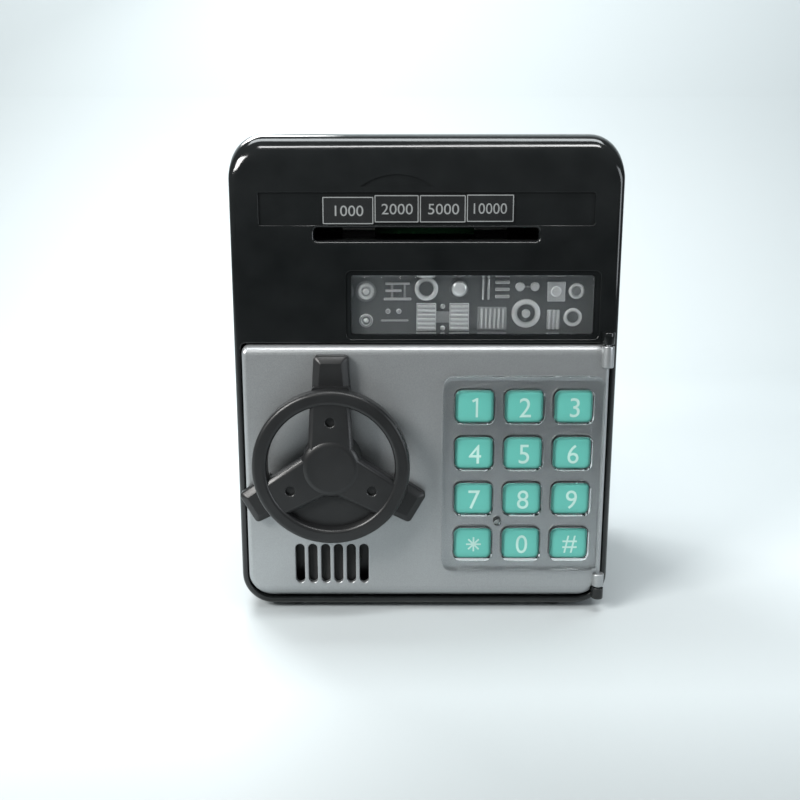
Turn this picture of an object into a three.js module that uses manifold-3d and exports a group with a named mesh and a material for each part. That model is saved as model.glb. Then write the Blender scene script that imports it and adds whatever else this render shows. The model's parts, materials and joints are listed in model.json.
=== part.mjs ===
// Toy cash machine savings bank: a black cabinet with a silver keypad door,
// a three-lug handle and a bill feeder.
// Millimetres. X is to the right, Y runs from the front to the back, Z is up, and the feet stand on z = 0.
import * as THREE from "three";
import { mergeVertices } from "three/addons/utils/BufferGeometryUtils.js";
import Module from "manifold-3d";

const wasm = await Module();
wasm.setup();

// ---- driving dimensions ----
const width = 140;
const height = 178;
const depth = 124; // handle front to rear cover
const wall = 2.5;
const cornerR = 12; // the outline's four corners
const topRoundR = 10; // the fascia's upper front edge
const edgeR = 2.5; // the other outer edges
const gap = 0.3; // between pieces that seat on each other
const footH = 2;
const footR = 6;
const frameDepth = 22.5;
const rearDepth = 13.7; // the rear cover's dish

const doorTop = 103.5;
const doorGap = 0.5; // all round the door
const doorRim = 0.5; // frame wall to the opening, beyond the wall itself
const doorProud = 2; // the door's face stands in front of the fascia
const doorThick = 11;
const doorWall = 2.2;
const doorCornerR = 9;
const hingeInset = 4; // hinge axis from the cabinet's right side
const hingePinR = 1;
const barrelR = 2.2;
const barrelH = 8;

const handleX = -34.3;
const handleZ = 61;
const handleProud = 13.5; // wheel front to door face
const ringR = 28.5;
const ringWidth = 5.4;
const lugR = 36.5;
const topLugR = 39.5; // the upper lug is longer, as the handle's pointer
const lugTipWidth = 13;
const lugHubWidth = 17;
const hubR = 11;
const shaftR = 3;
const handleTurn = 60; // degrees between unlocked and locked

const boltTravel = 5;
const boltHeight = 10;
const boltThick = 3;
const camR = 12;
const camThick = 4;
const plungerR = 1.8;
const plungerTravel = 4;

const keyWidth = 14.2;
const keyHeight = 12.4;
const keyCornerR = 2.2;
const keyClearance = 0.3;
const keyTravel = 1.2;
const keyRecess = 1.2; // key face behind the plate's face
const keyPitchX = 18.1;
const keyPitchZ = 17.6;
const keypadX = 36; // centre column
const keypadZ = 54.8; // centre of the plate
const bezelProud = 3;
const bezelMarginX = 4.5; // plate edge beyond the outer keys
const bezelMarginZ = 5;
const bezelCornerR = 4;

const windowWidth = 87.5;
const windowHeight = 21.1;
const windowX = 16.95; // centre
const windowBottom = 107.3;
const lensFlange = 1;

const slotWidth = 80;
const slotHeight = 4.6;
const slotZ = 143.1; // the bill's plane
const guideWall = 1.2;
const guideLength = 43;
const feedY = -20;
const feedRollerR = 6.5;
const pressRollerR = 5.5;
const rollerWidth = 12;
const rollerX = 25;
const feedShaftR = 2;
const pressShaftR = 1.5;
const gearTeeth = 28;
const pinionTeeth = 12;
const gearModule = 1;
const gearBacklash = 0.4; // added to the centre distance
const gearWidth = 4;
const motorR = 9.5;
const motorLength = 22;

const coinSlotLength = 34;
const coinSlotWidth = 4.6;
const coinSlotY = 14.3;

const batteryWidth = 68; // the opening in the rear cover
const batteryHeight = 48;
const batteryBelowTop = 36; // centre of the battery opening
const batteryDepth = 23;
const batteryWall = 1.5;

const screwInset = 9.5; // screw axes from the cabinet's sides, top and bottom
const screwBossR = 6.5;
const screwShankR = 1.6;
const screwHeadR = 3;

// ---- planes and places worked out from the driving dimensions ----
const halfWidth = width / 2;
const yBack = depth / 2;
const yHandleFront = -depth / 2;
const yDoor = yHandleFront + handleProud;
const yFascia = yDoor + doorProud;
const yFrameBack = yFascia + frameDepth;
const yRearFront = yBack - rearDepth;
const yDoorBack = yDoor + doorThick;
const doorHalf = halfWidth - wall - doorGap;
const doorBottom = footH + wall + doorRim + doorGap;
const hingeX = halfWidth - hingeInset;
const hingeY = yDoor - 0.1;
const yPlate = yDoor - bezelProud;

// ---- solids ----
function solidOf(geometry) {
  const plain = geometry.index ? geometry.toNonIndexed() : geometry.clone();
  plain.deleteAttribute("normal");
  plain.deleteAttribute("uv");
  const merged = mergeVertices(plain, 1e-4);
  return new wasm.Manifold(
    new wasm.Mesh({
      numProp: 3,
      vertProperties: merged.attributes.position.array,
      triVerts: new Uint32Array(merged.index.array),
    }),
  );
}

function geometryOf(solid) {
  const mesh = solid.getMesh();
  const geometry = new THREE.BufferGeometry();
  geometry.setAttribute("position", new THREE.BufferAttribute(mesh.vertProperties, 3));
  geometry.setIndex(new THREE.BufferAttribute(mesh.triVerts, 1));
  geometry.computeVertexNormals();
  return geometry;
}

function box(x0, x1, y0, y1, z0, z1) {
  const geometry = new THREE.BoxGeometry(x1 - x0, y1 - y0, z1 - z0);
  geometry.translate((x0 + x1) / 2, (y0 + y1) / 2, (z0 + z1) / 2);
  return solidOf(geometry);
}

const arcDetail = 2; // half the number of straight pieces in each arc of a slab

// A shape drawn in X and Z, pushed from yFront to yRear, with an optional rounded front edge.
function slab(shape, yFront, yRear, round = 0, steps = 2) {
  const geometry = new THREE.ExtrudeGeometry(shape, {
    depth: yRear - yFront - round,
    curveSegments: arcDetail,
    bevelEnabled: round > 0,
    bevelThickness: round,
    bevelSize: round,
    bevelOffset: -round,
    bevelSegments: steps,
  });
  geometry.rotateX(Math.PI / 2);
  geometry.translate(0, yRear, 0);
  const solid = solidOf(geometry);
  return round > 0 ? solid.subtract(box(-500, 500, yRear, yRear + 2 * round + 1, -500, 500)) : solid;
}

// A shape drawn in Y and Z, pushed from x0 to x1.
function prism(shape, x0, x1) {
  const geometry = new THREE.ExtrudeGeometry(shape, {
    depth: x1 - x0,
    curveSegments: 4,
    bevelEnabled: false,
  });
  const turn = new THREE.Matrix4().makeBasis(
    new THREE.Vector3(0, 1, 0),
    new THREE.Vector3(0, 0, 1),
    new THREE.Vector3(1, 0, 0),
  );
  geometry.applyMatrix4(turn);
  geometry.translate(x0, 0, 0);
  return solidOf(geometry);
}

// Round rods along each axis, given by the two places across the axis and the two ends.
function rodX(y, z, r, x0, x1, sides = 24) {
  const geometry = new THREE.CylinderGeometry(r, r, x1 - x0, sides);
  geometry.rotateZ(Math.PI / 2);
  geometry.translate((x0 + x1) / 2, y, z);
  return solidOf(geometry);
}

function rodY(x, z, r, y0, y1, sides = 24) {
  const geometry = new THREE.CylinderGeometry(r, r, y1 - y0, sides);
  geometry.translate(x, (y0 + y1) / 2, z);
  return solidOf(geometry);
}

function rodZ(x, y, r, z0, z1, sides = 24) {
  const geometry = new THREE.CylinderGeometry(r, r, z1 - z0, sides);
  geometry.rotateX(Math.PI / 2);
  geometry.translate(x, y, (z0 + z1) / 2);
  return solidOf(geometry);
}

function roundedRect(x0, x1, z0, z1, bottomR, topR = bottomR) {
  const shape = new THREE.Shape();
  shape.absarc(x1 - bottomR, z0 + bottomR, bottomR, -Math.PI / 2, 0, false);
  shape.absarc(x1 - topR, z1 - topR, topR, 0, Math.PI / 2, false);
  shape.absarc(x0 + topR, z1 - topR, topR, Math.PI / 2, Math.PI, false);
  shape.absarc(x0 + bottomR, z0 + bottomR, bottomR, Math.PI, 1.5 * Math.PI, false);
  shape.closePath();
  return shape;
}

function polygon(points) {
  return new THREE.Shape(points.map(([a, b]) => new THREE.Vector2(a, b)));
}

const bank = new THREE.Group();

function add(name, solid, color, roughness = 0.5, metalness = 0) {
  const material = new THREE.MeshStandardMaterial({ color, roughness, metalness });
  const mesh = new THREE.Mesh(geometryOf(solid), material);
  mesh.name = name;
  bank.add(mesh);
}

const glossBlack = 0x0f1112;
const satinBlack = 0x1c1e20;
const silver = 0x9aa0a6;
const teal = 0x55afa0;
const clear = 0xc8d4d8;
const steel = 0xb8bcc0;
const brass = 0xc8a050;
const boardGreen = 0x1f6b3a;
const gearWhite = 0xe6e6e0;
const rubber = 0x222222;
const indicatorGrey = 0x808486;

// ---- places used by several pieces ----
const outline = (inset, r = cornerR - inset) =>
  roundedRect(-halfWidth + inset, halfWidth - inset, footH + inset, height - inset, r);

// The cabinet seen from the side: square behind, with the large round at its upper front edge.
function sideProfile(inset, yRear) {
  const shape = new THREE.Shape();
  const r = topRoundR - inset;
  shape.moveTo(yFascia + inset, footH + inset);
  shape.lineTo(yRear, footH + inset);
  shape.lineTo(yRear, height - inset);
  shape.absarc(yFascia + topRoundR, height - topRoundR, r, Math.PI / 2, Math.PI, false);
  shape.closePath();
  return shape;
}

const screwSpots = [];
for (const x of [-1, 1]) {
  for (const z of [footH + screwInset, height - screwInset]) {
    screwSpots.push([x * (halfWidth - screwInset), z]);
  }
}

const footSpots = [];
for (const y of [yFascia + 10.5, yRearFront - 10.3]) {
  for (const x of [-1, 1]) {
    footSpots.push([x * (halfWidth - 20), y]);
  }
}
const footSeat = 1; // how far a foot sits in its recess

function withFootRecesses(solid) {
  return footSpots.reduce(
    (body, [x, y]) => body.subtract(rodZ(x, y, footR + gap, footH - 1, footH + footSeat)),
    solid,
  );
}

const lensLeft = windowX - windowWidth / 2;
const lensRight = windowX + windowWidth / 2;
const lensTop = windowBottom + windowHeight;

const labelBottom = 147.3;
const labelTop = 157.3;
const labelEdges = [-37, -18.6, -2.6, 14, 31];
const labelSlip = [-0.6, 0, 0, 0.2]; // each strip is stuck on a little out of line
const bandDepth = 0.8;

const keyNames = ["1", "2", "3", "4", "5", "6", "7", "8", "9", "star", "0", "hash"];
const keySpots = keyNames.map((name, i) => ({
  name,
  x: keypadX + ((i % 3) - 1) * keyPitchX,
  z: keypadZ + (1.5 - Math.floor(i / 3)) * keyPitchZ,
}));
const bezelLeft = keypadX - keyPitchX - keyWidth / 2 - bezelMarginX;
const bezelRight = keypadX + keyPitchX + keyWidth / 2 + bezelMarginX - 0.2;
const bezelTop = keypadZ + 1.5 * keyPitchZ + keyHeight / 2 + bezelMarginZ;
const bezelBottom = keypadZ - 1.5 * keyPitchZ - keyHeight / 2 - bezelMarginZ;

const keyRect = (spot, grow, r) =>
  roundedRect(
    spot.x - keyWidth / 2 - grow,
    spot.x + keyWidth / 2 + grow,
    spot.z - keyHeight / 2 - grow,
    spot.z + keyHeight / 2 + grow,
    r,
  );

function withKeyHoles(solid, yFront, yRear) {
  return keySpots.reduce(
    (body, spot) =>
      body.subtract(slab(keyRect(spot, keyClearance, keyCornerR + keyClearance), yFront - 1, yRear + 1)),
    solid,
  );
}

const indicatorX = keypadX - keyPitchX / 2;
const indicatorZ = keypadZ - keyPitchZ;
const indicatorR = 1.1;

// ---- cabinet ----
const labelBand = [-59.5, 59.5];
const hingeLugH = 4.5;
const lowerLugTop = doorBottom + 4.8;
const pinHoleR = hingePinR + gap;
const openingBottom = doorBottom - doorGap;
const openingTop = doorTop + doorGap;
const shelfH = 2;
const strikeFront = yDoorBack + gap;
const yCamBack = strikeFront + camThick;
const boltFront = yCamBack + gap;
const strikeX = -halfWidth + wall + 4;

function frontFrame() {
  let body = slab(outline(0), yFascia, yFrameBack, edgeR).intersect(
    prism(sideProfile(0, yFrameBack), -halfWidth, halfWidth),
  );
  const pocket = slab(outline(wall), yFascia + wall, yFrameBack + 1).intersect(
    prism(sideProfile(wall, yFrameBack + 1), -halfWidth, halfWidth),
  );
  body = body.subtract(pocket);
  const inside = halfWidth - wall;
  const opening = roundedRect(-inside, inside, openingBottom, openingTop, doorCornerR + doorGap, 2);
  body = body.add(
    box(-inside - 1, inside + 1, yFascia + wall / 2, yFrameBack, openingTop - 1, openingTop + shelfH),
  );
  body = body.add(
    slab(outline(1), yFascia + wall, yFrameBack).intersect(
      box(-halfWidth, halfWidth, yFascia, yFrameBack, footH + 1, openingBottom + doorCornerR),
    ),
  );
  body = body.subtract(slab(opening, yFascia - 1, yFrameBack + 1));
  for (const [z0, z1] of [
    [openingTop, openingTop + hingeLugH],
    [lowerLugTop - hingeLugH, lowerLugTop],
  ]) {
    body = body.add(rodZ(hingeX, hingeY, barrelR, z0, z1, 20));
    body = body.add(box(hingeX - barrelR, hingeX + barrelR, hingeY, yFascia + wall, z0, z1));
  }
  body = body.subtract(rodZ(hingeX, hingeY, pinHoleR, openingTop - 1, openingTop + 3, 16));
  body = body.subtract(rodZ(hingeX, hingeY, pinHoleR, lowerLugTop - 3, lowerLugTop + 1, 16));
  body = body.add(box(-halfWidth + wall - 1, strikeX, strikeFront, yCamBack, handleZ - 11, handleZ + 11));
  const lensHole = roundedRect(lensLeft - gap, lensRight + gap, windowBottom - gap, lensTop + gap, 1);
  const lensRecess = roundedRect(lensLeft - 2, lensRight + 2, windowBottom - 1.8, lensTop + 1.8, 2);
  body = body.subtract(slab(lensHole, yFascia - 1, yFascia + wall + 1));
  body = body.subtract(slab(lensRecess, yFascia - 1, yFascia + 0.5));
  const slotHalf = slotWidth / 2;
  const slot = roundedRect(-slotHalf, slotHalf, slotZ - slotHeight / 2, slotZ + slotHeight / 2, 1);
  body = body.subtract(slab(slot, yFascia - 1, yFascia + wall + 1));
  const band = roundedRect(labelBand[0], labelBand[1], labelBottom - 1, labelTop + 0.5, 0.8);
  body = body.subtract(slab(band, yFascia - 1, yFascia + bandDepth));
  const notch = new THREE.Shape();
  notch.absarc(-10.5, 142, 22, 0.3 * Math.PI, 0.7 * Math.PI, false);
  body = body.subtract(slab(notch, yFascia - 1, yFascia + 0.5));
  return withFootRecesses(body);
}

function bodyShell() {
  const y0 = yFrameBack + gap;
  const y1 = yRearFront - gap;
  let body = slab(outline(0), y0, y1).subtract(slab(outline(wall), y0 - 1, y1 + 1));
  const column = slab(outline(1), y1 - 18, y1);
  for (const [x, z] of screwSpots) {
    body = body.add(rodY(x, z, screwBossR, y1 - 18, y1).intersect(column));
  }
  for (const [x, z] of screwSpots) {
    body = body.subtract(rodY(x, z, screwShankR + gap, y1 - 15, y1 + 1, 16));
  }
  const half = coinSlotLength / 2;
  const reach = coinSlotWidth / 2;
  body = body.subtract(box(-half, half, coinSlotY - reach, coinSlotY + reach, height - 5, height + 1));
  return withFootRecesses(body);
}

const headSeat = yBack - 6;
const batteryZ = height - batteryBelowTop;
const coverThick = 2;
const batteryHalf = batteryWidth / 2;
const batteryBottom = batteryZ - batteryHeight / 2;
const batteryTop = batteryZ + batteryHeight / 2;

function rearCover() {
  const flipped = slab(outline(0), -yBack, -yRearFront, 5);
  let body = flipped.mirror([0, 1, 0]);
  body = body.subtract(slab(outline(wall), yRearFront - 1, yBack - wall));
  const column = slab(outline(1), yRearFront, yBack - 1);
  for (const [x, z] of screwSpots) {
    body = body.add(rodY(x, z, screwBossR, yRearFront, yBack - 1).intersect(column));
  }
  for (const [x, z] of screwSpots) {
    body = body.subtract(rodY(x, z, screwHeadR + 0.4, headSeat, yBack + 1, 20));
    body = body.subtract(rodY(x, z, screwShankR + gap, yRearFront - 1, yBack, 16));
  }
  const hole = roundedRect(-batteryHalf, batteryHalf, batteryBottom, batteryTop, 2);
  return body.subtract(slab(hole, yBack - wall - 1, yBack + 1));
}

add("front_frame", frontFrame(), glossBlack, 0.15);
add("body_shell", bodyShell(), glossBlack, 0.3);
add("rear_cover", rearCover(), satinBlack, 0.4);

screwSpots.forEach(([x, z], i) => {
  const head = rodY(x, z, screwHeadR, headSeat + gap, headSeat + gap + 2, 20);
  const shank = rodY(x, z, screwShankR, yRearFront - 12, headSeat + gap + 0.5, 12);
  const cross = box(x - 0.4, x + 0.4, headSeat + 1.3, yBack, z - 2, z + 2).add(
    box(x - 2, x + 2, headSeat + 1.3, yBack, z - 0.4, z + 0.4),
  );
  add(`rear_screw_${i + 1}`, head.add(shank).subtract(cross), steel, 0.3, 1);
});

footSpots.forEach(([x, y], i) => {
  add(`foot_${i + 1}`, rodZ(x, y, footR, 0, footH + footSeat - gap, 28), rubber, 0.9);
});

// ---- window, relief and value strips ----
function windowLens() {
  const face = roundedRect(lensLeft, lensRight, windowBottom, lensTop, 0.8);
  const flange = roundedRect(
    lensLeft - lensFlange,
    lensRight + lensFlange,
    windowBottom - lensFlange,
    lensTop + lensFlange,
    1,
  );
  const yBehind = yFascia + wall + gap;
  return slab(face, yFascia + 0.8, yBehind + 0.1).add(slab(flange, yBehind, yBehind + 0.8));
}

const yReliefBack = yFascia + 7;
const yReliefBase = yReliefBack - 1.5;
const yReliefTop = yFascia + wall + gap + 0.8 + gap;

// The relief is laid out on a field of its own size, which is fitted to the window.
const reliefField = { width: 87.5, height: 21.1 };

function reliefPanel() {
  const fit = Math.min(windowWidth / reliefField.width, windowHeight / reliefField.height);
  const x = (u) => lensLeft + (u * windowWidth) / reliefField.width;
  const z = (v) => lensTop - (v * windowHeight) / reliefField.height;
  let body = box(lensLeft - 0.5, lensRight, yReliefBase, yReliefBack, windowBottom - 0.5, lensTop + 0.5);
  const bosses = [
    [5, 6, 4],
    [5, 16.5, 2.5],
    [27, 5, 4],
    [39, 5, 3],
    [63, 14, 5],
    [71, 6, 2],
    [80, 15, 3.2],
  ];
  for (const [u, v, r] of bosses) {
    body = body.add(rodY(x(u), z(v), r * fit, yReliefTop + 0.4, yReliefBase + 0.5, 20));
  }
  for (const u of [27, 39]) {
    body = body.add(box(x(u - 3.5), x(u + 3.5), yReliefTop, yReliefBase + 0.5, z(20.5), z(10)));
  }
  body = body.add(box(x(46), x(56), yReliefTop + 0.6, yReliefBase + 0.5, z(20), z(11)));
  for (const v of [3, 6, 9]) {
    body = body.add(box(x(12), x(21), yReliefTop + 0.8, yReliefBase + 0.5, z(v + 1.2), z(v)));
  }
  return body;
}

add("window_lens", windowLens(), clear, 0.05);
add("relief_panel", reliefPanel(), silver, 0.35, 0.6);

for (let i = 0; i < 4; i += 1) {
  const slip = labelSlip[i];
  const shape = roundedRect(
    labelEdges[i] + gap / 2,
    labelEdges[i + 1] - gap / 2,
    labelBottom + slip,
    labelTop - 0.4 + slip,
    0.3,
  );
  add(`value_label_${i + 1}`, slab(shape, yFascia + 0.1, yFascia + bandDepth - gap), glossBlack, 0.3);
}

// ---- bill feeder ----
const guideHalf = slotWidth / 2 + 4;
const yGuide0 = yFascia + wall + gap;
const feedZ = slotZ - 0.15 - feedRollerR;
const pressZ = slotZ + 0.15 + pressRollerR;
const bracketHalf = 6;

function billGuide() {
  const z0 = slotZ - slotHeight / 2;
  const z1 = slotZ + slotHeight / 2;
  const y1 = yGuide0 + guideLength;
  let body = box(-guideHalf - guideWall, guideHalf + guideWall, yGuide0, y1, z0 - guideWall, z1 + guideWall);
  body = body.subtract(box(-guideHalf, guideHalf, yGuide0 - 1, y1 + 1, z0, z1));
  for (const x of [-rollerX, rollerX]) {
    const half = rollerWidth / 2 + 1;
    const reach = feedRollerR + 1;
    body = body.subtract(box(x - half, x + half, feedY - reach, feedY + reach, z0 - 3, z1 + 3));
  }
  for (const side of [-1, 1]) {
    const xa = side * guideHalf;
    const xb = side * (guideHalf + guideWall + 2);
    const low = Math.min(xa, xb);
    const high = Math.max(xa, xb);
    let bracket = box(low, high, feedY - bracketHalf, feedY + bracketHalf, feedZ - 5, pressZ + 4);
    bracket = bracket.subtract(box(-guideHalf, guideHalf, feedY - 9, feedY + 9, z0, z1));
    body = body.add(bracket);
    body = body.subtract(rodX(feedY, feedZ, feedShaftR + gap, low - 1, high + 1, 20));
    body = body.subtract(rodX(feedY, pressZ, pressShaftR + gap, low - 1, high + 1, 20));
  }
  return body;
}

// Straight-sided teeth; a tooth's middle points along startAngle.
function gearShape(teeth, startAngle, y, z) {
  const pitch = (2 * Math.PI) / teeth;
  const root = gearModule * (teeth / 2 - 1.15);
  const tip = gearModule * (teeth / 2 + 0.85);
  const points = [];
  for (let i = 0; i < teeth; i += 1) {
    const middle = startAngle + i * pitch;
    for (const [share, r] of [
      [-0.28, root],
      [-0.11, tip],
      [0.11, tip],
      [0.28, root],
    ]) {
      const angle = middle + share * pitch;
      points.push([y + r * Math.cos(angle), z + r * Math.sin(angle)]);
    }
  }
  return polygon(points);
}

const meshAngle = -Math.PI / 4; // from the feed shaft towards the motor
const centreDistance = (gearModule * (gearTeeth + pinionTeeth)) / 2 + gearBacklash;
const motorY = feedY + centreDistance * Math.cos(meshAngle);
const motorZ = feedZ + centreDistance * Math.sin(meshAngle);
const gearX0 = -halfWidth + wall + 3.5;
const gearX1 = gearX0 + gearWidth;
const motorX0 = gearX1 + 3;

add("bill_guide", billGuide(), satinBlack, 0.6);

const feedGear = prism(gearShape(gearTeeth, meshAngle + Math.PI / gearTeeth, feedY, feedZ), gearX0, gearX1);
const gearBore = rodX(feedY, feedZ, feedShaftR + gap, gearX0 - 1, gearX1 + 1, 20);
add("feed_gear", feedGear.subtract(gearBore), gearWhite);
add("feed_shaft", rodX(feedY, feedZ, feedShaftR, gearX0 - 1.5, guideHalf + 6, 20), steel, 0.3, 1);
add("pressure_shaft", rodX(feedY, pressZ, pressShaftR, -guideHalf - 6, guideHalf + 6, 16), steel, 0.3, 1);
for (const [side, x] of [
  ["left", -rollerX],
  ["right", rollerX],
]) {
  const x0 = x - rollerWidth / 2;
  const x1 = x + rollerWidth / 2;
  const feed = rodX(feedY, feedZ, feedRollerR, x0, x1, 28);
  const press = rodX(feedY, pressZ, pressRollerR, x0, x1, 24);
  const rollerBore = rodX(feedY, feedZ, feedShaftR + gap, x0 - 1, x1 + 1, 20);
  add(`feed_roller_${side}`, feed.subtract(rollerBore), rubber, 0.9);
  add(
    `pressure_roller_${side}`,
    press.subtract(rodX(feedY, pressZ, pressShaftR + gap, x0 - 1, x1 + 1, 16)),
    gearWhite,
  );
}

const pinion = prism(gearShape(pinionTeeth, meshAngle + Math.PI, motorY, motorZ), gearX0, gearX1);
const motorShaftR = 1;
const pinionBore = rodX(motorY, motorZ, motorShaftR + gap, gearX0 - 1, gearX1 + 1, 14);
add("motor_pinion", pinion.subtract(pinionBore), brass, 0.35, 1);
const motorCan = rodX(motorY, motorZ, motorR, motorX0, motorX0 + motorLength, 28);
add("feed_motor", motorCan.add(rodX(motorY, motorZ, motorShaftR, gearX0, motorX0 + 1, 14)), steel, 0.3, 1);

const boardThick = 1.6;
const yBoard = yBack - wall - gap - batteryDepth - gap - boardThick;
const boardHalf = halfWidth - wall - screwBossR - 7;
const boardBottom = batteryBottom - 8;
let board = box(-boardHalf, boardHalf, yBoard, yBoard + boardThick, boardBottom, batteryTop + 2);
for (const [x, z, w, h, t] of [
  [-35, 8, 14, 14, 2],
  [-8, 14, 8, 8, 5],
  [10, -12, 20, 6, 4],
  [38, 10, 10, 10, 8],
]) {
  const middle = batteryZ + z;
  board = board.add(box(x - w / 2, x + w / 2, yBoard - t, yBoard + 0.5, middle - h / 2, middle + h / 2));
}
add("main_board", board, boardGreen);

// ---- battery compartment ----
const yTray = yBack - wall - gap;
const trayHalf = batteryHalf - gap;
let tray = box(-trayHalf, trayHalf, yTray - batteryDepth, yTray, batteryBottom + gap, batteryTop - gap);
tray = tray.subtract(
  box(
    -trayHalf + batteryWall,
    trayHalf - batteryWall,
    yTray - batteryDepth + batteryWall,
    yTray + 1,
    batteryBottom + gap + batteryWall,
    batteryTop - gap - batteryWall,
  ),
);
add("battery_box", tray, satinBlack, 0.6);

const springTurns = 3;
const springR = 4;
const springWire = 0.5;
class SpringPath extends THREE.Curve {
  getPoint(t, target = new THREE.Vector3()) {
    const angle = t * springTurns * 2 * Math.PI;
    const r = springR * (1 - 0.45 * t);
    const x = -trayHalf + batteryWall + gap + springWire + t * 6;
    const y = yTray - batteryDepth / 2 + r * Math.cos(angle);
    return target.set(x, y, batteryTop - 9 + r * Math.sin(angle));
  }
}
const wire = new THREE.Shape();
wire.absarc(0, 0, springWire, 0, 2 * Math.PI, false);
const springGeometry = new THREE.ExtrudeGeometry(wire, {
  steps: 30,
  curveSegments: 3,
  extrudePath: new SpringPath(),
});
add("battery_spring", solidOf(springGeometry), steel, 0.3, 1);

function batteryCover() {
  const fit = 0.4;
  const y1 = yTray + gap + coverThick;
  const plate = roundedRect(-batteryHalf + fit, batteryHalf - fit, batteryBottom + fit, batteryTop - fit, 2);
  let body = slab(plate, yTray + gap, y1);
  for (let i = 0; i < 5; i += 1) {
    const z = batteryTop - 8 - i * 2;
    body = body.subtract(box(-8, 8, y1 - 0.6, y1 + 1, z - 0.5, z + 0.5));
  }
  return body;
}
add("battery_cover", batteryCover(), satinBlack, 0.4);

// ---- door ----
const freeEdgeTaper = 1.2; // lets the free edge swing past the frame
const skinInsideLeft = -doorHalf + doorWall + 0.5;
const upperBarrel = [doorTop - barrelH, doorTop];
const lowerBarrel = [lowerLugTop + doorGap, lowerLugTop + doorGap + 5];
const soundSlots = 6;
const soundSlotX = -47.3;
const soundSlotPitch = 4.85;
const soundSlotHalf = 1.6;
const soundSlotBottom = 11.7;
const soundSlotTop = 27.4;

function doorSkin() {
  const face = roundedRect(-doorHalf, doorHalf, doorBottom, doorTop, doorCornerR, 2);
  let body = slab(face, yDoor, yDoorBack, 1.6);
  const inside = roundedRect(
    skinInsideLeft,
    doorHalf - doorWall,
    doorBottom + doorWall,
    doorTop - doorWall,
    doorCornerR - doorWall,
    1,
  );
  body = body.subtract(slab(inside, yDoor + doorWall, yDoorBack + 1));
  const taper = new THREE.ExtrudeGeometry(
    polygon([
      [-doorHalf - 2, yDoor + 2],
      [-doorHalf, yDoor + 2],
      [-doorHalf + freeEdgeTaper, yDoorBack + 0.5],
      [-doorHalf - 2, yDoorBack + 0.5],
    ]),
    { depth: height, bevelEnabled: false },
  );
  body = body.subtract(solidOf(taper));
  body = body.subtract(
    box(hingeX - barrelR - doorGap, halfWidth, yDoor - 1, yDoorBack + 1, 0, lowerBarrel[0]),
  );
  for (const [z0, z1] of [upperBarrel, lowerBarrel]) {
    body = body.add(rodZ(hingeX, hingeY, barrelR, z0, z1, 20));
    body = body.subtract(rodZ(hingeX, hingeY, pinHoleR, z0 - 0.1, z1 + 0.1, 16));
  }
  body = body.add(rodY(handleX, handleZ, shaftR + 3, yDoor + 1, yDoor + doorWall + 4));
  body = body.subtract(rodY(handleX, handleZ, shaftR + gap, yDoor - 1, yDoorBack));
  for (let i = 0; i < soundSlots; i += 1) {
    const x0 = soundSlotX + i * soundSlotPitch - soundSlotHalf;
    const x1 = x0 + 2 * soundSlotHalf;
    const shape = roundedRect(x0, x1, soundSlotBottom, soundSlotTop, soundSlotHalf - 0.1);
    body = body.subtract(slab(shape, yDoor - 1, yDoor + doorWall + 1));
  }
  body = body.subtract(rodY(indicatorX, indicatorZ, indicatorR + gap, yDoor - 1, yDoor + doorWall + 1, 16));
  return withKeyHoles(body, yDoor, yDoor + doorWall);
}

const backFront = yDoorBack - 2.2;
const boltZ = handleZ;
const railReach = boltFront + boltThick + 0.3;

const flangeGrow = 1;
const flangeThick = 1.2;
const membraneThick = 0.8;
const yFlange = yDoor + doorWall + gap;
const yMembrane = yFlange + flangeThick + keyTravel + 0.4;
const yKeyBoard = yMembrane + membraneThick + gap + boardThick;
const padRect = (grow) =>
  roundedRect(bezelLeft + 2 - grow, bezelRight - 3 + grow, bezelBottom + 2 - grow, bezelTop - 2 + grow, 2);

// The door's inner plate: posts press on the keypad board, and two rails guide the latch bolt.
function doorBack() {
  const fit = gap;
  const plate = roundedRect(
    skinInsideLeft + fit,
    doorHalf - doorWall - fit,
    doorBottom + doorWall + fit,
    doorTop - doorWall - fit,
    doorCornerR - doorWall - fit,
    1,
  );
  let body = slab(plate, backFront, yDoorBack);
  body = body.subtract(
    box(hingeX - barrelR - doorGap, halfWidth, backFront - 1, yDoorBack + 1, 0, lowerBarrel[0]),
  );
  body = body.subtract(rodY(handleX, handleZ, shaftR + gap, backFront - 1, yDoorBack + 1));
  for (const x of [bezelLeft + 6, bezelRight - 7]) {
    for (const z of [bezelBottom + 6, bezelTop - 6]) {
      body = body.add(rodY(x, z, 2.5, yKeyBoard + gap, yDoorBack - 0.5, 16));
    }
  }
  for (const side of [-1, 1]) {
    const near = boltZ + side * (boltHeight / 2 + gap);
    const far = near + side * 3;
    body = body.add(box(-60, -52, yDoorBack - 1, railReach, Math.min(near, far), Math.max(near, far)));
  }
  return body;
}

function keypadBezel() {
  const plate = roundedRect(bezelLeft, bezelRight, bezelBottom, bezelTop, bezelCornerR);
  let body = slab(plate, yPlate, yDoor - gap, 1.2, 2);
  body = body.subtract(rodY(indicatorX, indicatorZ, indicatorR + gap, yPlate - 1, yDoor, 16));
  return withKeyHoles(body, yPlate, yDoor);
}

add("door_skin", doorSkin(), silver, 0.35, 0.6);
add("door_back", doorBack(), satinBlack, 0.6);
add("keypad_bezel", keypadBezel(), clear, 0.1);

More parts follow.
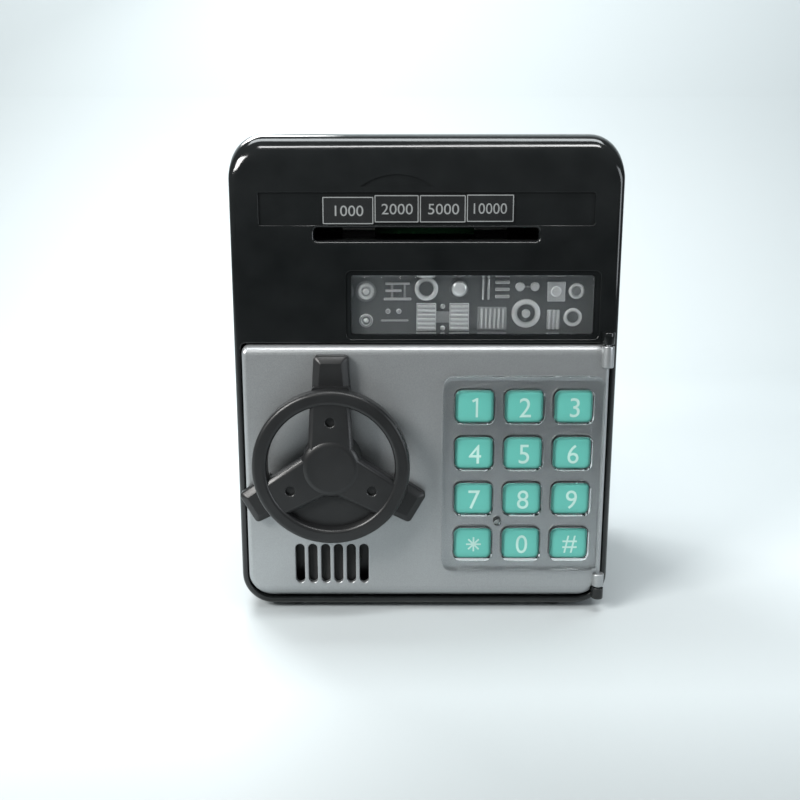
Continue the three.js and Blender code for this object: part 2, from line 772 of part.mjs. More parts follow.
add("key_membrane", slab(padRect(0), yMembrane, yMembrane + membraneThick), rubber, 0.9);
add("keypad_board", slab(padRect(0.5), yKeyBoard - boardThick, yKeyBoard), boardGreen);
const speakerX = soundSlotX + (soundSlotPitch * (soundSlots - 1)) / 2;
const speakerZ = 20.2;
const speaker = rodY(speakerX, speakerZ, 11, yDoor + doorWall + gap, yDoor + doorWall + 3).add(
  rodY(speakerX, speakerZ, 7, yDoor + doorWall + 2.5, yDoor + doorWall + 5.5),
);
add("speaker", speaker, rubber, 0.8);
const lens = rodY(indicatorX, indicatorZ, indicatorR, yPlate + 0.2, yDoor + doorWall + 1, 16);
add("indicator_lens", lens, indicatorGrey, 0.3);
const pinDepth = 2.7; // how far each hinge pin stands in its lug
const upperPin = rodZ(hingeX, hingeY, hingePinR, upperBarrel[0] + 0.5, openingTop + pinDepth, 14);
const lowerPin = rodZ(hingeX, hingeY, hingePinR, lowerLugTop - pinDepth, lowerBarrel[1] - 0.3, 14);
add("hinge_pin_upper", upperPin, steel, 0.3, 1);
add("hinge_pin_lower", lowerPin, steel, 0.3, 1);

for (const spot of keySpots) {
  const cap = slab(keyRect(spot, 0, keyCornerR), yPlate + keyRecess, yFlange + 0.2, 0.8, 1);
  const flange = slab(keyRect(spot, flangeGrow, keyCornerR), yFlange, yFlange + flangeThick);
  add(`key_${spot.name}`, cap.add(flange), teal, 0.55);
}

// ---- handle ----
const yArmFront = yHandleFront + 0.5;
const yRingBack = yHandleFront + 6.5;
const yWebFront = yHandleFront + 4;
const yLugFront = yHandleFront + 8;
const handleGap = 0.4;
const yShaftFront = yHandleFront + 5.3;
const dimpleAt = 17;
const dimpleR = 1.75;

// A lug drawn along angle a, from one radius to another, tapering from the hub to its tip.
function lugShape(a, from, to, grow = 0) {
  const halfAt = (r) => (lugHubWidth + ((lugTipWidth - lugHubWidth) * r) / lugR) / 2 + grow;
  const at = (r, side) => {
    const across = side * halfAt(r);
    return [
      handleX + r * Math.cos(a) - across * Math.sin(a),
      handleZ + r * Math.sin(a) + across * Math.cos(a),
    ];
  };
  return polygon([at(from, -1), at(to, -1), at(to, 1), at(from, 1)]);
}

const lugAngles = [0, 1, 2].map((i) => Math.PI / 2 + (i * 2 * Math.PI) / 3);

function handleWheel() {
  const ring = new THREE.Shape();
  ring.absarc(handleX, handleZ, ringR, 0, 2 * Math.PI, false);
  const bore = new THREE.Path();
  bore.absarc(handleX, handleZ, ringR - ringWidth, 0, 2 * Math.PI, true);
  ring.holes.push(bore);
  const ringGeometry = new THREE.ExtrudeGeometry(ring, {
    depth: yRingBack - yHandleFront,
    curveSegments: 24,
    bevelEnabled: false,
  });
  ringGeometry.rotateX(Math.PI / 2);
  ringGeometry.translate(0, yRingBack, 0);
  let body = solidOf(ringGeometry);
  body = body.add(rodY(handleX, handleZ, hubR, yHandleFront, yDoor - handleGap, 36));
  const yLugBack = yDoor - handleGap - 0.3;
  lugAngles.forEach((a, i) => {
    const tip = i === 0 ? topLugR : lugR;
    body = body.add(slab(lugShape(a, 0, ringR - 1), yArmFront, yRingBack));
    body = body.add(slab(lugShape(a, ringR - ringWidth - 0.5, ringR + 0.3), yRingBack - 1, yLugBack));
    body = body.add(slab(lugShape(a, ringR - 2, tip), yLugFront, yLugBack, 1.2, 2));
  });
  const web = new THREE.Shape();
  web.moveTo(handleX, handleZ);
  web.absarc(handleX, handleZ, ringR - 1, lugAngles[1], lugAngles[2], false);
  web.closePath();
  body = body.add(slab(web, yWebFront, yRingBack - 0.5));
  for (const a of lugAngles) {
    const x = handleX + dimpleAt * Math.cos(a);
    const z = handleZ + dimpleAt * Math.sin(a);
    body = body.subtract(rodY(x, z, dimpleR, yHandleFront - 1, yArmFront + 1, 16));
  }
  return body.subtract(rodY(handleX, handleZ, shaftR + gap, yShaftFront - gap, yDoor, 24));
}

const crankR = boltTravel; // a 60 degree turn moves the crank sideways by its own radius
const crankStart = Math.PI / 3;
const crankPinR = 1.5;

function handleCam() {
  let body = rodY(handleX, handleZ, camR, strikeFront, yCamBack, 40);
  body = body.subtract(rodY(handleX, handleZ, shaftR + gap, strikeFront - 1, yCamBack + 1));
  const notch = plungerR + 0.7;
  for (const a of [-Math.PI / 2, -Math.PI / 2 - (handleTurn * Math.PI) / 180]) {
    const middle = camR + 0.5;
    const cx = handleX + middle * Math.cos(a);
    const cz = handleZ + middle * Math.sin(a);
    body = body.subtract(rodY(cx, cz, notch + 2.2, strikeFront - 1, yCamBack + 1, 20));
  }
  const x = handleX + crankR * Math.cos(crankStart);
  const z = handleZ + crankR * Math.sin(crankStart);
  return body.add(rodY(x, z, crankPinR, yCamBack - 0.5, boltFront + boltThick, 16));
}

function latchBolt() {
  const y1 = boltFront + boltThick;
  const pinX = handleX + crankR * Math.cos(crankStart);
  const half = boltHeight / 2;
  let body = box(strikeX + 2.3, pinX + 5, boltFront, y1, boltZ - half, boltZ + half);
  body = body.add(box(pinX - 5, pinX + 5, boltFront, y1, boltZ - half, boltZ + half + 4));
  const pinSlotHalf = crankPinR + 0.4;
  const pinSlotTop = boltZ + crankR + crankPinR + 0.6;
  return body.subtract(
    box(pinX - pinSlotHalf, pinX + pinSlotHalf, boltFront - 1, y1 + 1, boltZ + 2.2, pinSlotTop),
  );
}

add("handle_wheel", handleWheel(), satinBlack, 0.4);
add("handle_shaft", rodY(handleX, handleZ, shaftR, yShaftFront, yCamBack, 24), steel, 0.3, 1);
add("handle_cam", handleCam(), gearWhite);
add("latch_bolt", latchBolt(), steel, 0.3, 1);

// ---- lock ----
const plungerY = strikeFront + plungerR + 0.8;
const plungerTip = handleZ - camR - 0.7;
const solenoidTop = plungerTip - plungerTravel - 0.8; // room for the plunger's full travel
const solenoidHalf = 8;
let solenoid = box(
  handleX - solenoidHalf,
  handleX + solenoidHalf,
  strikeFront,
  strikeFront + 10,
  solenoidTop - 21,
  solenoidTop,
);
const plungerBore = rodZ(handleX, plungerY, plungerR + gap, solenoidTop - 15, solenoidTop + 1, 20);
solenoid = solenoid.subtract(plungerBore);
add("lock_solenoid", solenoid, steel, 0.4, 1);
add("solenoid_plunger", rodZ(handleX, plungerY, plungerR, solenoidTop - 12, plungerTip, 20), steel, 0.2, 1);

export default bank;
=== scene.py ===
import json
import math

import bmesh
import bpy
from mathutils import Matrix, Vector
from mathutils.geometry import tessellate_polygon


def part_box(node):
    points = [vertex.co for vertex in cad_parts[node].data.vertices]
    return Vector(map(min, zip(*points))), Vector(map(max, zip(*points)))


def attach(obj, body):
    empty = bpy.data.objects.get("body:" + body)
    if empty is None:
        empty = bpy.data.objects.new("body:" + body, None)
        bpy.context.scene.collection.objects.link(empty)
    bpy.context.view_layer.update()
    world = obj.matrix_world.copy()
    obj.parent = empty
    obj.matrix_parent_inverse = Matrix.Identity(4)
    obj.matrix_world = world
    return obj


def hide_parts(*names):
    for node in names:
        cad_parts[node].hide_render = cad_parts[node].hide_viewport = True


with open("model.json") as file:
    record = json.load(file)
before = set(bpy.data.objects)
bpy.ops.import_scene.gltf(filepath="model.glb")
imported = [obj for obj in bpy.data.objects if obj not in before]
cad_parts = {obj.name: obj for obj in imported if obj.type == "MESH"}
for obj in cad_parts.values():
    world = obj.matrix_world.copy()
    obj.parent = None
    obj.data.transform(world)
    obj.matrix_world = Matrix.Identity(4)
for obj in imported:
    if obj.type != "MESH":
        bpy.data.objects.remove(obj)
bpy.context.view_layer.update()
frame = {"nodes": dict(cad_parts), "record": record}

scene = bpy.context.scene
perMetre = 1000.0  # the sizes below are in millimetres


def span(node):
    low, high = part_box(node)
    return [c * perMetre for c in low] + [c * perMetre for c in high]


def middleXZ(box):
    return (box[0] + box[3]) / 2, (box[2] + box[5]) / 2


# places shared by several pieces, read from the frame
shell = {
    "left": span("body_shell")[0],
    "right": span("body_shell")[3],
    "front": span("body_shell")[1],
    "back": span("body_shell")[4],
    "bottom": span("body_shell")[2],
    "top": span("body_shell")[5],
    "wall": 2.5,
    "corner": 12.0,
    "seam": 0.25,  # the small chamfer at each joint between mouldings
    "handleProud": 13.5,  # from the handle's face back to the door's
    "doorProud": 2.0,  # from the door's face back to the fascia's
}
handleFront = span("handle_wheel")[1]
doorY = handleFront + shell["handleProud"]
fasciaY = doorY + shell["doorProud"]


# ---- points, loops and closed meshes ----
def roundRect(left, right, low, high, radius, topRadius=None, steps=8):
    # anticlockwise from the lower right corner, always the same number of points
    top = radius if topRadius is None else topRadius
    points = []
    for cornerX, cornerZ, r, start in (
        (right, low, radius, -90),
        (right, high, top, 0),
        (left, high, top, 90),
        (left, low, radius, 180),
    ):
        r = max(r, 0.03)
        mx = cornerX - r if cornerX == right else cornerX + r
        mz = cornerZ - r if cornerZ == high else cornerZ + r
        for i in range(steps + 1):
            angle = math.radians(start + 90 * i / steps)
            points.append((mx + r * math.cos(angle), mz + r * math.sin(angle)))
    return points


def inward(box, radius, steps=8, shrink=1.0):
    # a loop round a span's front that draws in with its argument
    x0, x1, z0, z1 = box[0], box[3], box[2], box[5]
    return lambda inset: roundRect(
        x0 + inset, x1 - inset, z0 + inset, z1 - inset, radius - inset * shrink, steps=steps,
    )


def outward(x0, x1, z0, z1, radius, topRadius=None, steps=8):
    # a loop that grows with its argument
    top = radius if topRadius is None else topRadius
    return lambda grow: roundRect(
        x0 - grow, x1 + grow, z0 - grow, z1 + grow, radius + grow, top + grow, steps,
    )


def circle(x, z, r, steps=36):
    turn = [2 * math.pi * i / steps for i in range(steps)]
    return [(x + r * math.cos(a), z + r * math.sin(a)) for a in turn]


def roundInset(depth, radius):
    # how far a rounded edge is drawn in at this depth behind its face
    if depth >= radius:
        return 0.0
    return radius - math.sqrt(max(radius * radius - (radius - depth) ** 2, 0.0))


def roundDepths(radius, steps):
    return [radius * (1 - math.cos(math.radians(90 * i / steps))) for i in range(steps + 1)]


def atY(points, y):
    return [(x, y, z) for x, z in points]


def atZ(points, z):
    return [(x, y, z) for x, y in points]


def atX(points, x):
    return [(x, y, z) for y, z in points]


def newObject(name, mesh):
    made = bpy.data.objects.new(name, mesh)
    scene.collection.objects.link(made)
    return made


def joinRings(bm, rings):
    # side walls between each ring and the next; returns the rings' vertices
    rows = [[bm.verts.new(p) for p in ring] for ring in rings]
    for a, b in zip(rows, rows[1:]):
        for i in range(len(a)):
            k = (i + 1) % len(a)
            bm.faces.new((a[i], a[k], b[k], b[i]))
    return rows


def capRings(bm, outer, holes=()):
    # a flat face over a loop of vertices, open at the holes
    loops = [outer] + list(holes)
    if not holes:
        bm.faces.new(outer)
        return
    verts = [v for loop in loops for v in loop]
    normal = (outer[1].co - outer[0].co).cross(outer[len(outer) // 2].co - outer[0].co)
    axis = max(range(3), key=lambda i: abs(normal[i]))
    keep = [i for i in range(3) if i != axis]
    flat = [[Vector((v.co[keep[0]], v.co[keep[1]], 0)) for v in loop] for loop in loops]
    for tri in tessellate_polygon(flat):
        bm.faces.new([verts[i] for i in tri])


def shade(mesh, angle=32):
    for face in mesh.polygons:
        face.use_smooth = True
    mesh.set_sharp_from_angle(angle=math.radians(angle))
    flatFrom = 0.99999
    for face in mesh.polygons:
        if max(abs(c) for c in face.normal) > flatFrom:
            face.use_smooth = False


def finishMesh(bm, name, angle=32):
    bmesh.ops.remove_doubles(bm, verts=bm.verts, dist=1e-4)
    bmesh.ops.recalc_face_normals(bm, faces=bm.faces)
    bmesh.ops.scale(bm, vec=(1 / perMetre,) * 3, verts=bm.verts)
    mesh = bpy.data.meshes.new(name)
    bm.to_mesh(mesh)
    bm.free()
    shade(mesh, angle)
    return mesh


def addSolid(bm, rings):
    rows = joinRings(bm, rings)
    capRings(bm, rows[0])
    capRings(bm, rows[-1])


def solidObject(name, groups, angle=32):
    # one object from closed solids, each a list of rings
    bm = bmesh.new()
    for rings in groups:
        addSolid(bm, rings)
    return newObject(name, finishMesh(bm, name, angle))


def shellObject(name, outerRings, innerRings, holes, holeProfile, angle=32):
    # a dish: outer rings from its face to its rim, then inner rings from the rim back to the face;
    # each hole(grow) gives a loop, and its profile lists (grow, y) from front to back
    bm = bmesh.new()
    rows = joinRings(bm, outerRings + innerRings)
    holeRows = [joinRings(bm, [atY(hole(grow), y) for grow, y in holeProfile]) for hole in holes]
    capRings(bm, rows[0], [h[0] for h in holeRows])
    capRings(bm, rows[-1], [h[-1] for h in holeRows])
    return newObject(name, finishMesh(bm, name, angle))


def plateObject(name, outer, holes, profile, holeProfile, angle=32):
    # outer(inset) gives a loop; its profile lists (inset, y) from front to back
    rings = [atY(outer(inset), y) for inset, y in profile]
    return shellObject(name, rings, [], holes, holeProfile, angle)


def ringObject(name, rings):
    # a closed tube whose last ring joins its first
    bm = bmesh.new()
    joinRings(bm, rings + [rings[0]])
    return newObject(name, finishMesh(bm, name))


def cutWith(target, cutters, mode="DIFFERENCE", angle=32):
    for cutter in cutters:
        step = target.modifiers.new("cut", "BOOLEAN")
        step.operation = mode
        step.solver = "EXACT"
        step.object = cutter
    graph = bpy.context.evaluated_depsgraph_get()
    made = bpy.data.meshes.new_from_object(target.evaluated_get(graph))
    target.modifiers.clear()
    old = target.data
    target.data = made
    made.name = old.name
    bpy.data.meshes.remove(old)
    for cutter in cutters:
        mesh = cutter.data
        bpy.data.objects.remove(cutter)
        bpy.data.meshes.remove(mesh)
    shade(made, angle)
    return target


def turned(profile, centre, axis="y", steps=48):
    # rings of a turned piece; the profile lists (radius, place along the axis)
    place = {"x": atX, "y": atY, "z": atZ}[axis]
    return [place(circle(*centre, max(r, 0.01), steps), along) for r, along in profile]


def roundedRod(r, start, end, edge, steps=4):
    # a turned profile with both ends rounded
    lift = (end - start) / abs(end - start)
    first = [(r - roundInset(d, edge), start + lift * d) for d in roundDepths(edge, steps)]
    last = [(p, start + end - a) for p, a in reversed(first)]
    return first + last


def boxRings(x0, x1, y0, y1, z0, z1, edge=0.3, steps=2):
    # a block whose front edges are rounded
    loop = inward((x0, 0, z0, x1, 0, z1), edge * 1.2, steps)
    rings = [atY(loop(roundInset(d, edge)), y0 + d) for d in roundDepths(edge, 3)]
    return rings + [atY(loop(0.0), y1)]


def dress(piece, body, slot, material, *nodes):
    piece.data.materials.clear()
    piece.data.materials.append(material)
    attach(piece, body)
    if nodes:
        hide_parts(*nodes)
    return piece


# ---- materials ----
def newMaterial(name, colour, roughness, metallic=0.0, **fixed):
    material = bpy.data.materials.new(name)
    material.use_nodes = True
    shader = material.node_tree.nodes["Principled BSDF"]
    shader.inputs["Base Color"].default_value = (*colour, 1)
    shader.inputs["Roughness"].default_value = roughness
    shader.inputs["Metallic"].default_value = metallic
    for key, value in fixed.items():
        shader.inputs[key].default_value = value
    return material


def addNode(material, kind, **inputs):
    node = material.node_tree.nodes.new(kind)
    for key, value in inputs.items():
        node.inputs[key].default_value = value
    return node


def noiseOn(material, scale, detail=3.0, roughness=0.5, stretch=(1, 1, 1)):
    # noise in object space; scale is in cycles per metre
    tree = material.node_tree
    place = tree.nodes.new("ShaderNodeTexCoord")
    mapping = tree.nodes.new("ShaderNodeMapping")
    mapping.inputs["Scale"].default_value = stretch
    tree.links.new(place.outputs["Object"], mapping.inputs["Vector"])
    noise = addNode(material, "ShaderNodeTexNoise", Scale=scale, Detail=detail, Roughness=roughness)
    tree.links.new(mapping.outputs["Vector"], noise.inputs["Vector"])
    return noise.outputs["Fac"]


def spread(material, source, low, high, fromLow=0.3, fromHigh=0.7):
    node = material.node_tree.nodes.new("ShaderNodeMapRange")
    for key, value in (("From Min", fromLow), ("From Max", fromHigh), ("To Min", low), ("To Max", high)):
        node.inputs[key].default_value = value
    material.node_tree.links.new(source, node.inputs["Value"])
    return node.outputs["Result"]


def tint(material, source, dark, light, fromLow=0.3, fromHigh=0.7):
    ramp = material.node_tree.nodes.new("ShaderNodeValToRGB")
    ramp.color_ramp.elements[0].position = fromLow
    ramp.color_ramp.elements[1].position = fromHigh
    ramp.color_ramp.elements[0].color = (*dark, 1)
    ramp.color_ramp.elements[1].color = (*light, 1)
    material.node_tree.links.new(source, ramp.inputs["Fac"])
    return ramp.outputs["Color"]


def joinTo(material, source, socket):
    shader = material.node_tree.nodes["Principled BSDF"]
    material.node_tree.links.new(source, shader.inputs[socket])


def bumpFrom(material, source, height, strength=1.0):
    # height is in millimetres
    bump = addNode(material, "ShaderNodeBump", Strength=strength, Distance=height / perMetre)
    material.node_tree.links.new(source, bump.inputs["Height"])
    joinTo(material, bump.outputs["Normal"], "Normal")


def mouldedPlastic(name, colour, roughness, wear=0.06, grain=0.0, grainScale=2600.0, **fixed):
    # moulded plastic: slow changes of sheen from handling, and the tool's fine texture
    material = newMaterial(name, colour, roughness, **fixed)
    handled = noiseOn(material, 38.0, 4.0, 0.55)
    joinTo(material, spread(material, handled, roughness - wear / 2, roughness + wear), "Roughness")
    dark = tuple(c * 0.88 for c in colour)
    light = tuple(min(c * 1.1 + 0.002, 1) for c in colour)
    joinTo(material, tint(material, noiseOn(material, 90.0, 5.0), dark, light), "Base Color")
    if grain:
        bumpFrom(material, noiseOn(material, grainScale, 2.0, 0.6), grain)
    return material


def silverPaint(name, colour, roughness):
    # sprayed metallic paint: flakes in the sheen, a slight orange peel in the surface
    material = newMaterial(name, colour, roughness, 0.72, **{"Coat Weight": 0.25, "Coat Roughness": 0.18})
    flakes = noiseOn(material, 4200.0, 1.0, 0.4)
    joinTo(material, spread(material, flakes, roughness - 0.05, roughness + 0.09), "Roughness")
    dark = tuple(c * 0.9 for c in colour)
    light = tuple(c * 1.09 for c in colour)
    joinTo(material, tint(material, flakes, dark, light), "Base Color")
    bumpFrom(material, noiseOn(material, 420.0, 3.0, 0.5), 0.012)
    return material


def metalFinish(name, colour, roughness, stretch=(1, 1, 1), scale=700.0):
    material = newMaterial(name, colour, roughness, 1.0)
    drawn = noiseOn(material, scale, 3.0, 0.6, stretch)
    joinTo(material, spread(material, drawn, roughness - 0.07, roughness + 0.12), "Roughness")
    bumpFrom(material, drawn, 0.006)
    return material


def clearPlastic(name):
    material = newMaterial(name, (0.97, 0.985, 0.99), 0.03, **{"Transmission Weight": 1.0, "IOR": 1.46})
    joinTo(material, spread(material, noiseOn(material, 60.0, 3.0), 0.02, 0.07), "Roughness")
    return material


def depthFrom(material, near, far):
    # 0 at the near place and 1 at the far one, front to back, in millimetres
    tree = material.node_tree
    place = tree.nodes.new("ShaderNodeTexCoord")
    split = tree.nodes.new("ShaderNodeSeparateXYZ")
    tree.links.new(place.outputs["Object"], split.inputs["Vector"])
    return spread(material, split.outputs["Y"], 0.0, 1.0, near / perMetre, far / perMetre)


def shadedRelief(name):
    # plated silver, its colour painted brighter on the raised parts and darker with depth into the hollows
    # between them: painted shade
    material = newMaterial(name, (0.5, 0.52, 0.53), 0.24, 0.4)
    panel = span("relief_panel")
    depth = depthFrom(material, panel[1] + 0.4, panel[4] - 1.5)
    # the dark colour is painted shade, deepest at the back of the hollows
    bright, hollowShade = (0.97, 0.98, 0.98), (0.17, 0.18, 0.185)
    joinTo(material, tint(material, depth, bright, hollowShade, 0.2, 0.85), "Base Color")
    joinTo(material, spread(material, depth, 0.16, 0.42, 0.0, 1.0), "Roughness")
    return material


def tealRubber(name):
    # teal caps, with painted shadow darkening their sides where they stand in their holes
    teal, shadow = (0.088, 0.36, 0.31), (0.006, 0.035, 0.03)
    material = mouldedPlastic(name, teal, 0.42, 0.08, 0.012)
    face = span("key_5")[1]
    depth = depthFrom(material, face + 0.35, face + 1.5)
    joinTo(material, tint(material, depth, teal, shadow, 0.0, 1.0), "Base Color")
    return material


def circuitBoard(name):
    # green resist over copper tracks
    material = newMaterial(name, (0.02, 0.14, 0.05), 0.35)
    tree = material.node_tree
    place = tree.nodes.new("ShaderNodeTexCoord")
    tracks = addNode(material, "ShaderNodeTexVoronoi", Scale=260.0)
    tracks.distance = "MANHATTAN"
    tree.links.new(place.outputs["Object"], tracks.inputs["Vector"])
    resist, copper = (0.012, 0.075, 0.025), (0.005, 0.035, 0.012)
    joinTo(material, tint(material, tracks.outputs["Distance"], resist, copper, 0.35, 0.45), "Base Color")
    bumpFrom(material, tracks.outputs["Distance"], 0.03)
    return material


glossBlack = mouldedPlastic("glossBlack", (0.0055, 0.0065, 0.0068), 0.1, 0.04, IOR=1.45)
satinBlack = mouldedPlastic("satinBlack", (0.017, 0.018, 0.019), 0.36, 0.08, 0.018)
handleBlack = mouldedPlastic("handleBlack", (0.01, 0.0105, 0.011), 0.32, 0.08, 0.01, IOR=1.42)
doorSilver = silverPaint("doorSilver", (0.34, 0.355, 0.362), 0.36)
keyTeal = tealRubber("keyTeal")
keyPrint = mouldedPlastic("keyPrint", (0.36, 0.55, 0.5), 0.5, 0.05)
clearStyrene = clearPlastic("clearStyrene")
reliefSilver = shadedRelief("reliefSilver")
labelBlack = mouldedPlastic("labelBlack", (0.012, 0.013, 0.0135), 0.22, 0.05)
labelPrint = mouldedPlastic("labelPrint", (0.2, 0.21, 0.21), 0.5, 0.05)
footRubber = mouldedPlastic("footRubber", (0.018, 0.018, 0.018), 0.8, 0.1, 0.05, 1400.0)
screwSteel = metalFinish("screwSteel", (0.5, 0.51, 0.52), 0.3, (1, 8, 1))
pinionBrass = metalFinish("pinionBrass", (0.72, 0.52, 0.22), 0.28, (8, 1, 1))
boardGreen = circuitBoard("boardGreen")
gearWhite = mouldedPlastic("gearWhite", (0.72, 0.72, 0.68), 0.45, 0.08, 0.01)
speakerBlack = mouldedPlastic("speakerBlack", (0.015, 0.015, 0.015), 0.7, 0.1, 0.03, 900.0)
indicatorSmoke = mouldedPlastic("indicatorSmoke", (0.13, 0.15, 0.15), 0.2, 0.04)
bySlot = {
    "gloss_black": glossBlack, "satin_black": satinBlack, "silver_paint": doorSilver, "key_teal": keyTeal,
    "clear_plastic": clearStyrene, "relief_silver": reliefSilver, "label_black": labelBlack,
    "foot_rubber": footRubber, "screw_steel": screwSteel, "pinion_brass": pinionBrass,
    "board_green": boardGreen, "white_plastic": gearWhite, "speaker_black": speakerBlack,
    "indicator_grey": indicatorSmoke,
}
for part in frame["record"]["subparts"]:
    node = frame["nodes"][part["node"]]
    node.data.materials.clear()
    node.data.materials.append(bySlot[part["material_slot"]])
print("materials ready")


# ---- camera, floor and light ----
view = {
    "lens": 45.0, "tilt": 12.8, "distance": 357.0, "x": -9.4, "z": 164.5,
    "wallBehind": 420.0, "floorHalf": 2600.0, "bend": 240.0, "paperShaded": -330.0, "paperPale": -110.0,
}


def makeCamera():
    data = bpy.data.cameras.new("camera")
    data.lens = view["lens"]
    data.sensor_width = 36
    data.clip_start = 0.01
    camera = newObject("camera", data)
    camera.location = (view["x"] / perMetre, (doorY - view["distance"]) / perMetre, view["z"] / perMetre)
    camera.rotation_euler = (math.radians(90 - view["tilt"]), 0, 0)
    scene.camera = camera


def makeStage():
    # a pale floor that bends up into a pale wall
    half = view["floorHalf"]
    start = view["wallBehind"]
    bend = view["bend"]
    path = [(-half, 0.0), (start, 0.0)]
    for i in range(1, 13):
        angle = math.radians(90 * i / 12)
        path.append((start + bend * math.sin(angle), bend * (1 - math.cos(angle))))
    path.append((start + bend, half))
    bm = bmesh.new()
    sides = [[bm.verts.new((x, y, z)) for y, z in path] for x in (-half, half)]
    for i in range(len(path) - 1):
        bm.faces.new((sides[0][i], sides[1][i], sides[1][i + 1], sides[0][i + 1]))
    floor = newObject("floor", finishMesh(bm, "floor", 60))
    # painted shade: the paper darkens towards the viewer, which keeps the gloss black front deep
    paper = newMaterial("floorPaper", (0.6, 0.64, 0.65), 0.7)
    along = depthFrom(paper, view["paperShaded"], view["paperPale"])
    dark, pale = (0.04, 0.043, 0.045), (0.43, 0.465, 0.475)
    joinTo(paper, tint(paper, along, dark, pale, 0.0, 1.0), "Base Color")
    floor.data.materials.append(paper)


def addLamp(name, place, aim, size, power, colour=(1, 1, 1)):
    data = bpy.data.lights.new(name, "AREA")
    data.shape = "RECTANGLE"
    data.size = size[0] / perMetre
    data.size_y = size[1] / perMetre
    data.energy = power
    data.color = colour
    lamp = newObject(name, data)
    lamp.location = Vector(place) / perMetre
    lamp.rotation_euler = (Vector(aim) - Vector(place)).to_track_quat("-Z", "Y").to_euler()


def makeLight():
    world = bpy.data.worlds.new("room")
    scene.world = world
    world.use_nodes = True
    world.node_tree.nodes["Background"].inputs["Color"].default_value = (0.86, 0.92, 0.94, 1)
    world.node_tree.nodes["Background"].inputs["Strength"].default_value = 0.2
    middle = (0, 0, 90)
    addLamp("windowLight", (-600, -560, 560), middle, (340, 300), 11.5, (1.0, 0.99, 0.97))
    addLamp("topLight", (60, -250, 740), middle, (520, 80), 3.0)
    addLamp("wallLight", (0, 160, 900), (0, 620, 260), (900, 300), 8.0, (0.93, 0.98, 1.0))
    addLamp("backLight", (-240, 390, 560), (0, 60, 90), (300, 200), 4.5)
    addLamp("fillLight", (640, -420, 240), middle, (260, 380), 1.8, (0.9, 0.95, 1.0))


makeCamera()
makeStage()
makeLight()
scene.view_settings.view_transform = "Standard"
print("camera, floor and light ready")


# ---- cabinet ----
fascia = {
    "topRound": 10.0, "edge": 2.5, "pocketRound": 7.5, "pocketCorner": 9.5, "gap": 0.3,
    "shelfLow": 104.0, "shelfHigh": 106.0,
    "doorLow": 5.0, "doorCorner": 9.5, "doorTopCorner": 2.0, "lip": 0.5,
    "window": (-26.8, 60.7, 107.3, 128.4), "windowRim": 2.0, "windowTrim": 0.2, "windowStep": 0.5,
    "slotHalf": 40.0, "slotZ": 143.1, "slotHigh": 4.6, "slotLip": 1.1, "slotRound": 1.2,
    "band": (-59.5, 59.5, 146.3, 157.8), "bandDeep": 0.8, "bandRound": 0.8,
    "notchX": -10.5, "notchRadius": 22.0, "notchZ": 142.0, "notchDeep": 0.5,
    "notchFrom": 54, "notchSweep": 72, "notchSteps": 24,
}


straight = 99.0  # a depth past every rounded edge


def flared(loop, front, back, lip, steps=4):
    # a cutter whose mouth widens, so the edge it leaves is rounded
    rings = [atY(loop(lip), front - 2.0)]
    rings += [atY(loop(roundInset(d, lip)), front + d) for d in roundDepths(lip, steps)]
    rings.append(atY(loop(0.0), back))
    return rings


def cabinetRing(depth, y, edge, topRound, inset=0.0):
    side = roundInset(depth, edge) + inset
    top = roundInset(depth, topRound) + inset
    corner = shell["corner"] - inset
    left, right = shell["left"] + side, shell["right"] - side
    low, high = shell["bottom"] + side, shell["top"] - top
    return atY(roundRect(left, right, low, high, corner - side + inset, steps=12), y)


def makeFrontFrame():
    f = fascia
    wall = shell["wall"]
    left, right = shell["left"] + wall, shell["right"] - wall
    back = shell["front"] - f["gap"]
    depths = sorted(set(roundDepths(f["topRound"], 14) + roundDepths(f["edge"], 5)))
    rings = [cabinetRing(d, fasciaY + d, f["edge"], f["topRound"]) for d in depths]
    rings.append(cabinetRing(straight, back - 0.3, f["edge"], f["topRound"]))
    rings.append(cabinetRing(straight, back, f["edge"], f["topRound"], shell["seam"]))
    body = solidObject("frontFrame", [rings])

    def pocketRing(inset, y):
        top = shell["top"] - wall - inset
        return atY(roundRect(left, right, f["shelfHigh"], top, 1.0, f["pocketCorner"]), y)

    inner = []
    for d in roundDepths(f["pocketRound"], 6):
        inner.append(pocketRing(roundInset(d, f["pocketRound"]), fasciaY + wall + d))
    inner.append(pocketRing(0.0, back + 2))
    doorway = outward(left, right, f["doorLow"], f["shelfLow"], f["doorCorner"], f["doorTopCorner"], 12)
    x0, x1, z0, z1 = f["window"]
    rim = f["windowRim"]
    trim = rim - f["windowTrim"]
    step = outward(x0 - rim, x1 + rim, z0 - trim, z1 + trim, 2.0)
    gap = f["gap"]
    hole = outward(x0 - gap, x1 + gap, z0 - gap, z1 + gap, 1.0)
    half, high = f["slotHalf"], f["slotHigh"] / 2
    slot = outward(-half, half, f["slotZ"] - high, f["slotZ"] + high, f["slotRound"])
    notch = []
    for i in range(f["notchSteps"] + 1):
        angle = math.radians(f["notchFrom"] + f["notchSweep"] * i / f["notchSteps"])
        x = f["notchX"] + f["notchRadius"] * math.cos(angle)
        notch.append((x, f["notchZ"] + f["notchRadius"] * math.sin(angle)))
    through = fasciaY + wall + 1
    band = outward(*f["band"], f["bandRound"])
    cutters = [
        ("pocket", inner),
        ("doorway", flared(doorway, fasciaY, back + 2, f["lip"])),
        ("windowStep", flared(step, fasciaY, fasciaY + f["windowStep"], 0.25)),
        ("windowHole", flared(hole, fasciaY, through, 0.1)),
        ("billSlot", flared(slot, fasciaY, through, f["slotLip"])),
        ("labelBand", flared(band, fasciaY, fasciaY + f["bandDeep"], 0.2)),
        ("notch", [atY(notch, fasciaY - 2), atY(notch, fasciaY + f["notchDeep"])]),
    ]
    cutWith(body, [solidObject(name, [rings]) for name, rings in cutters])
    dress(body, "cabinet", "gloss_black", glossBlack, "front_frame")


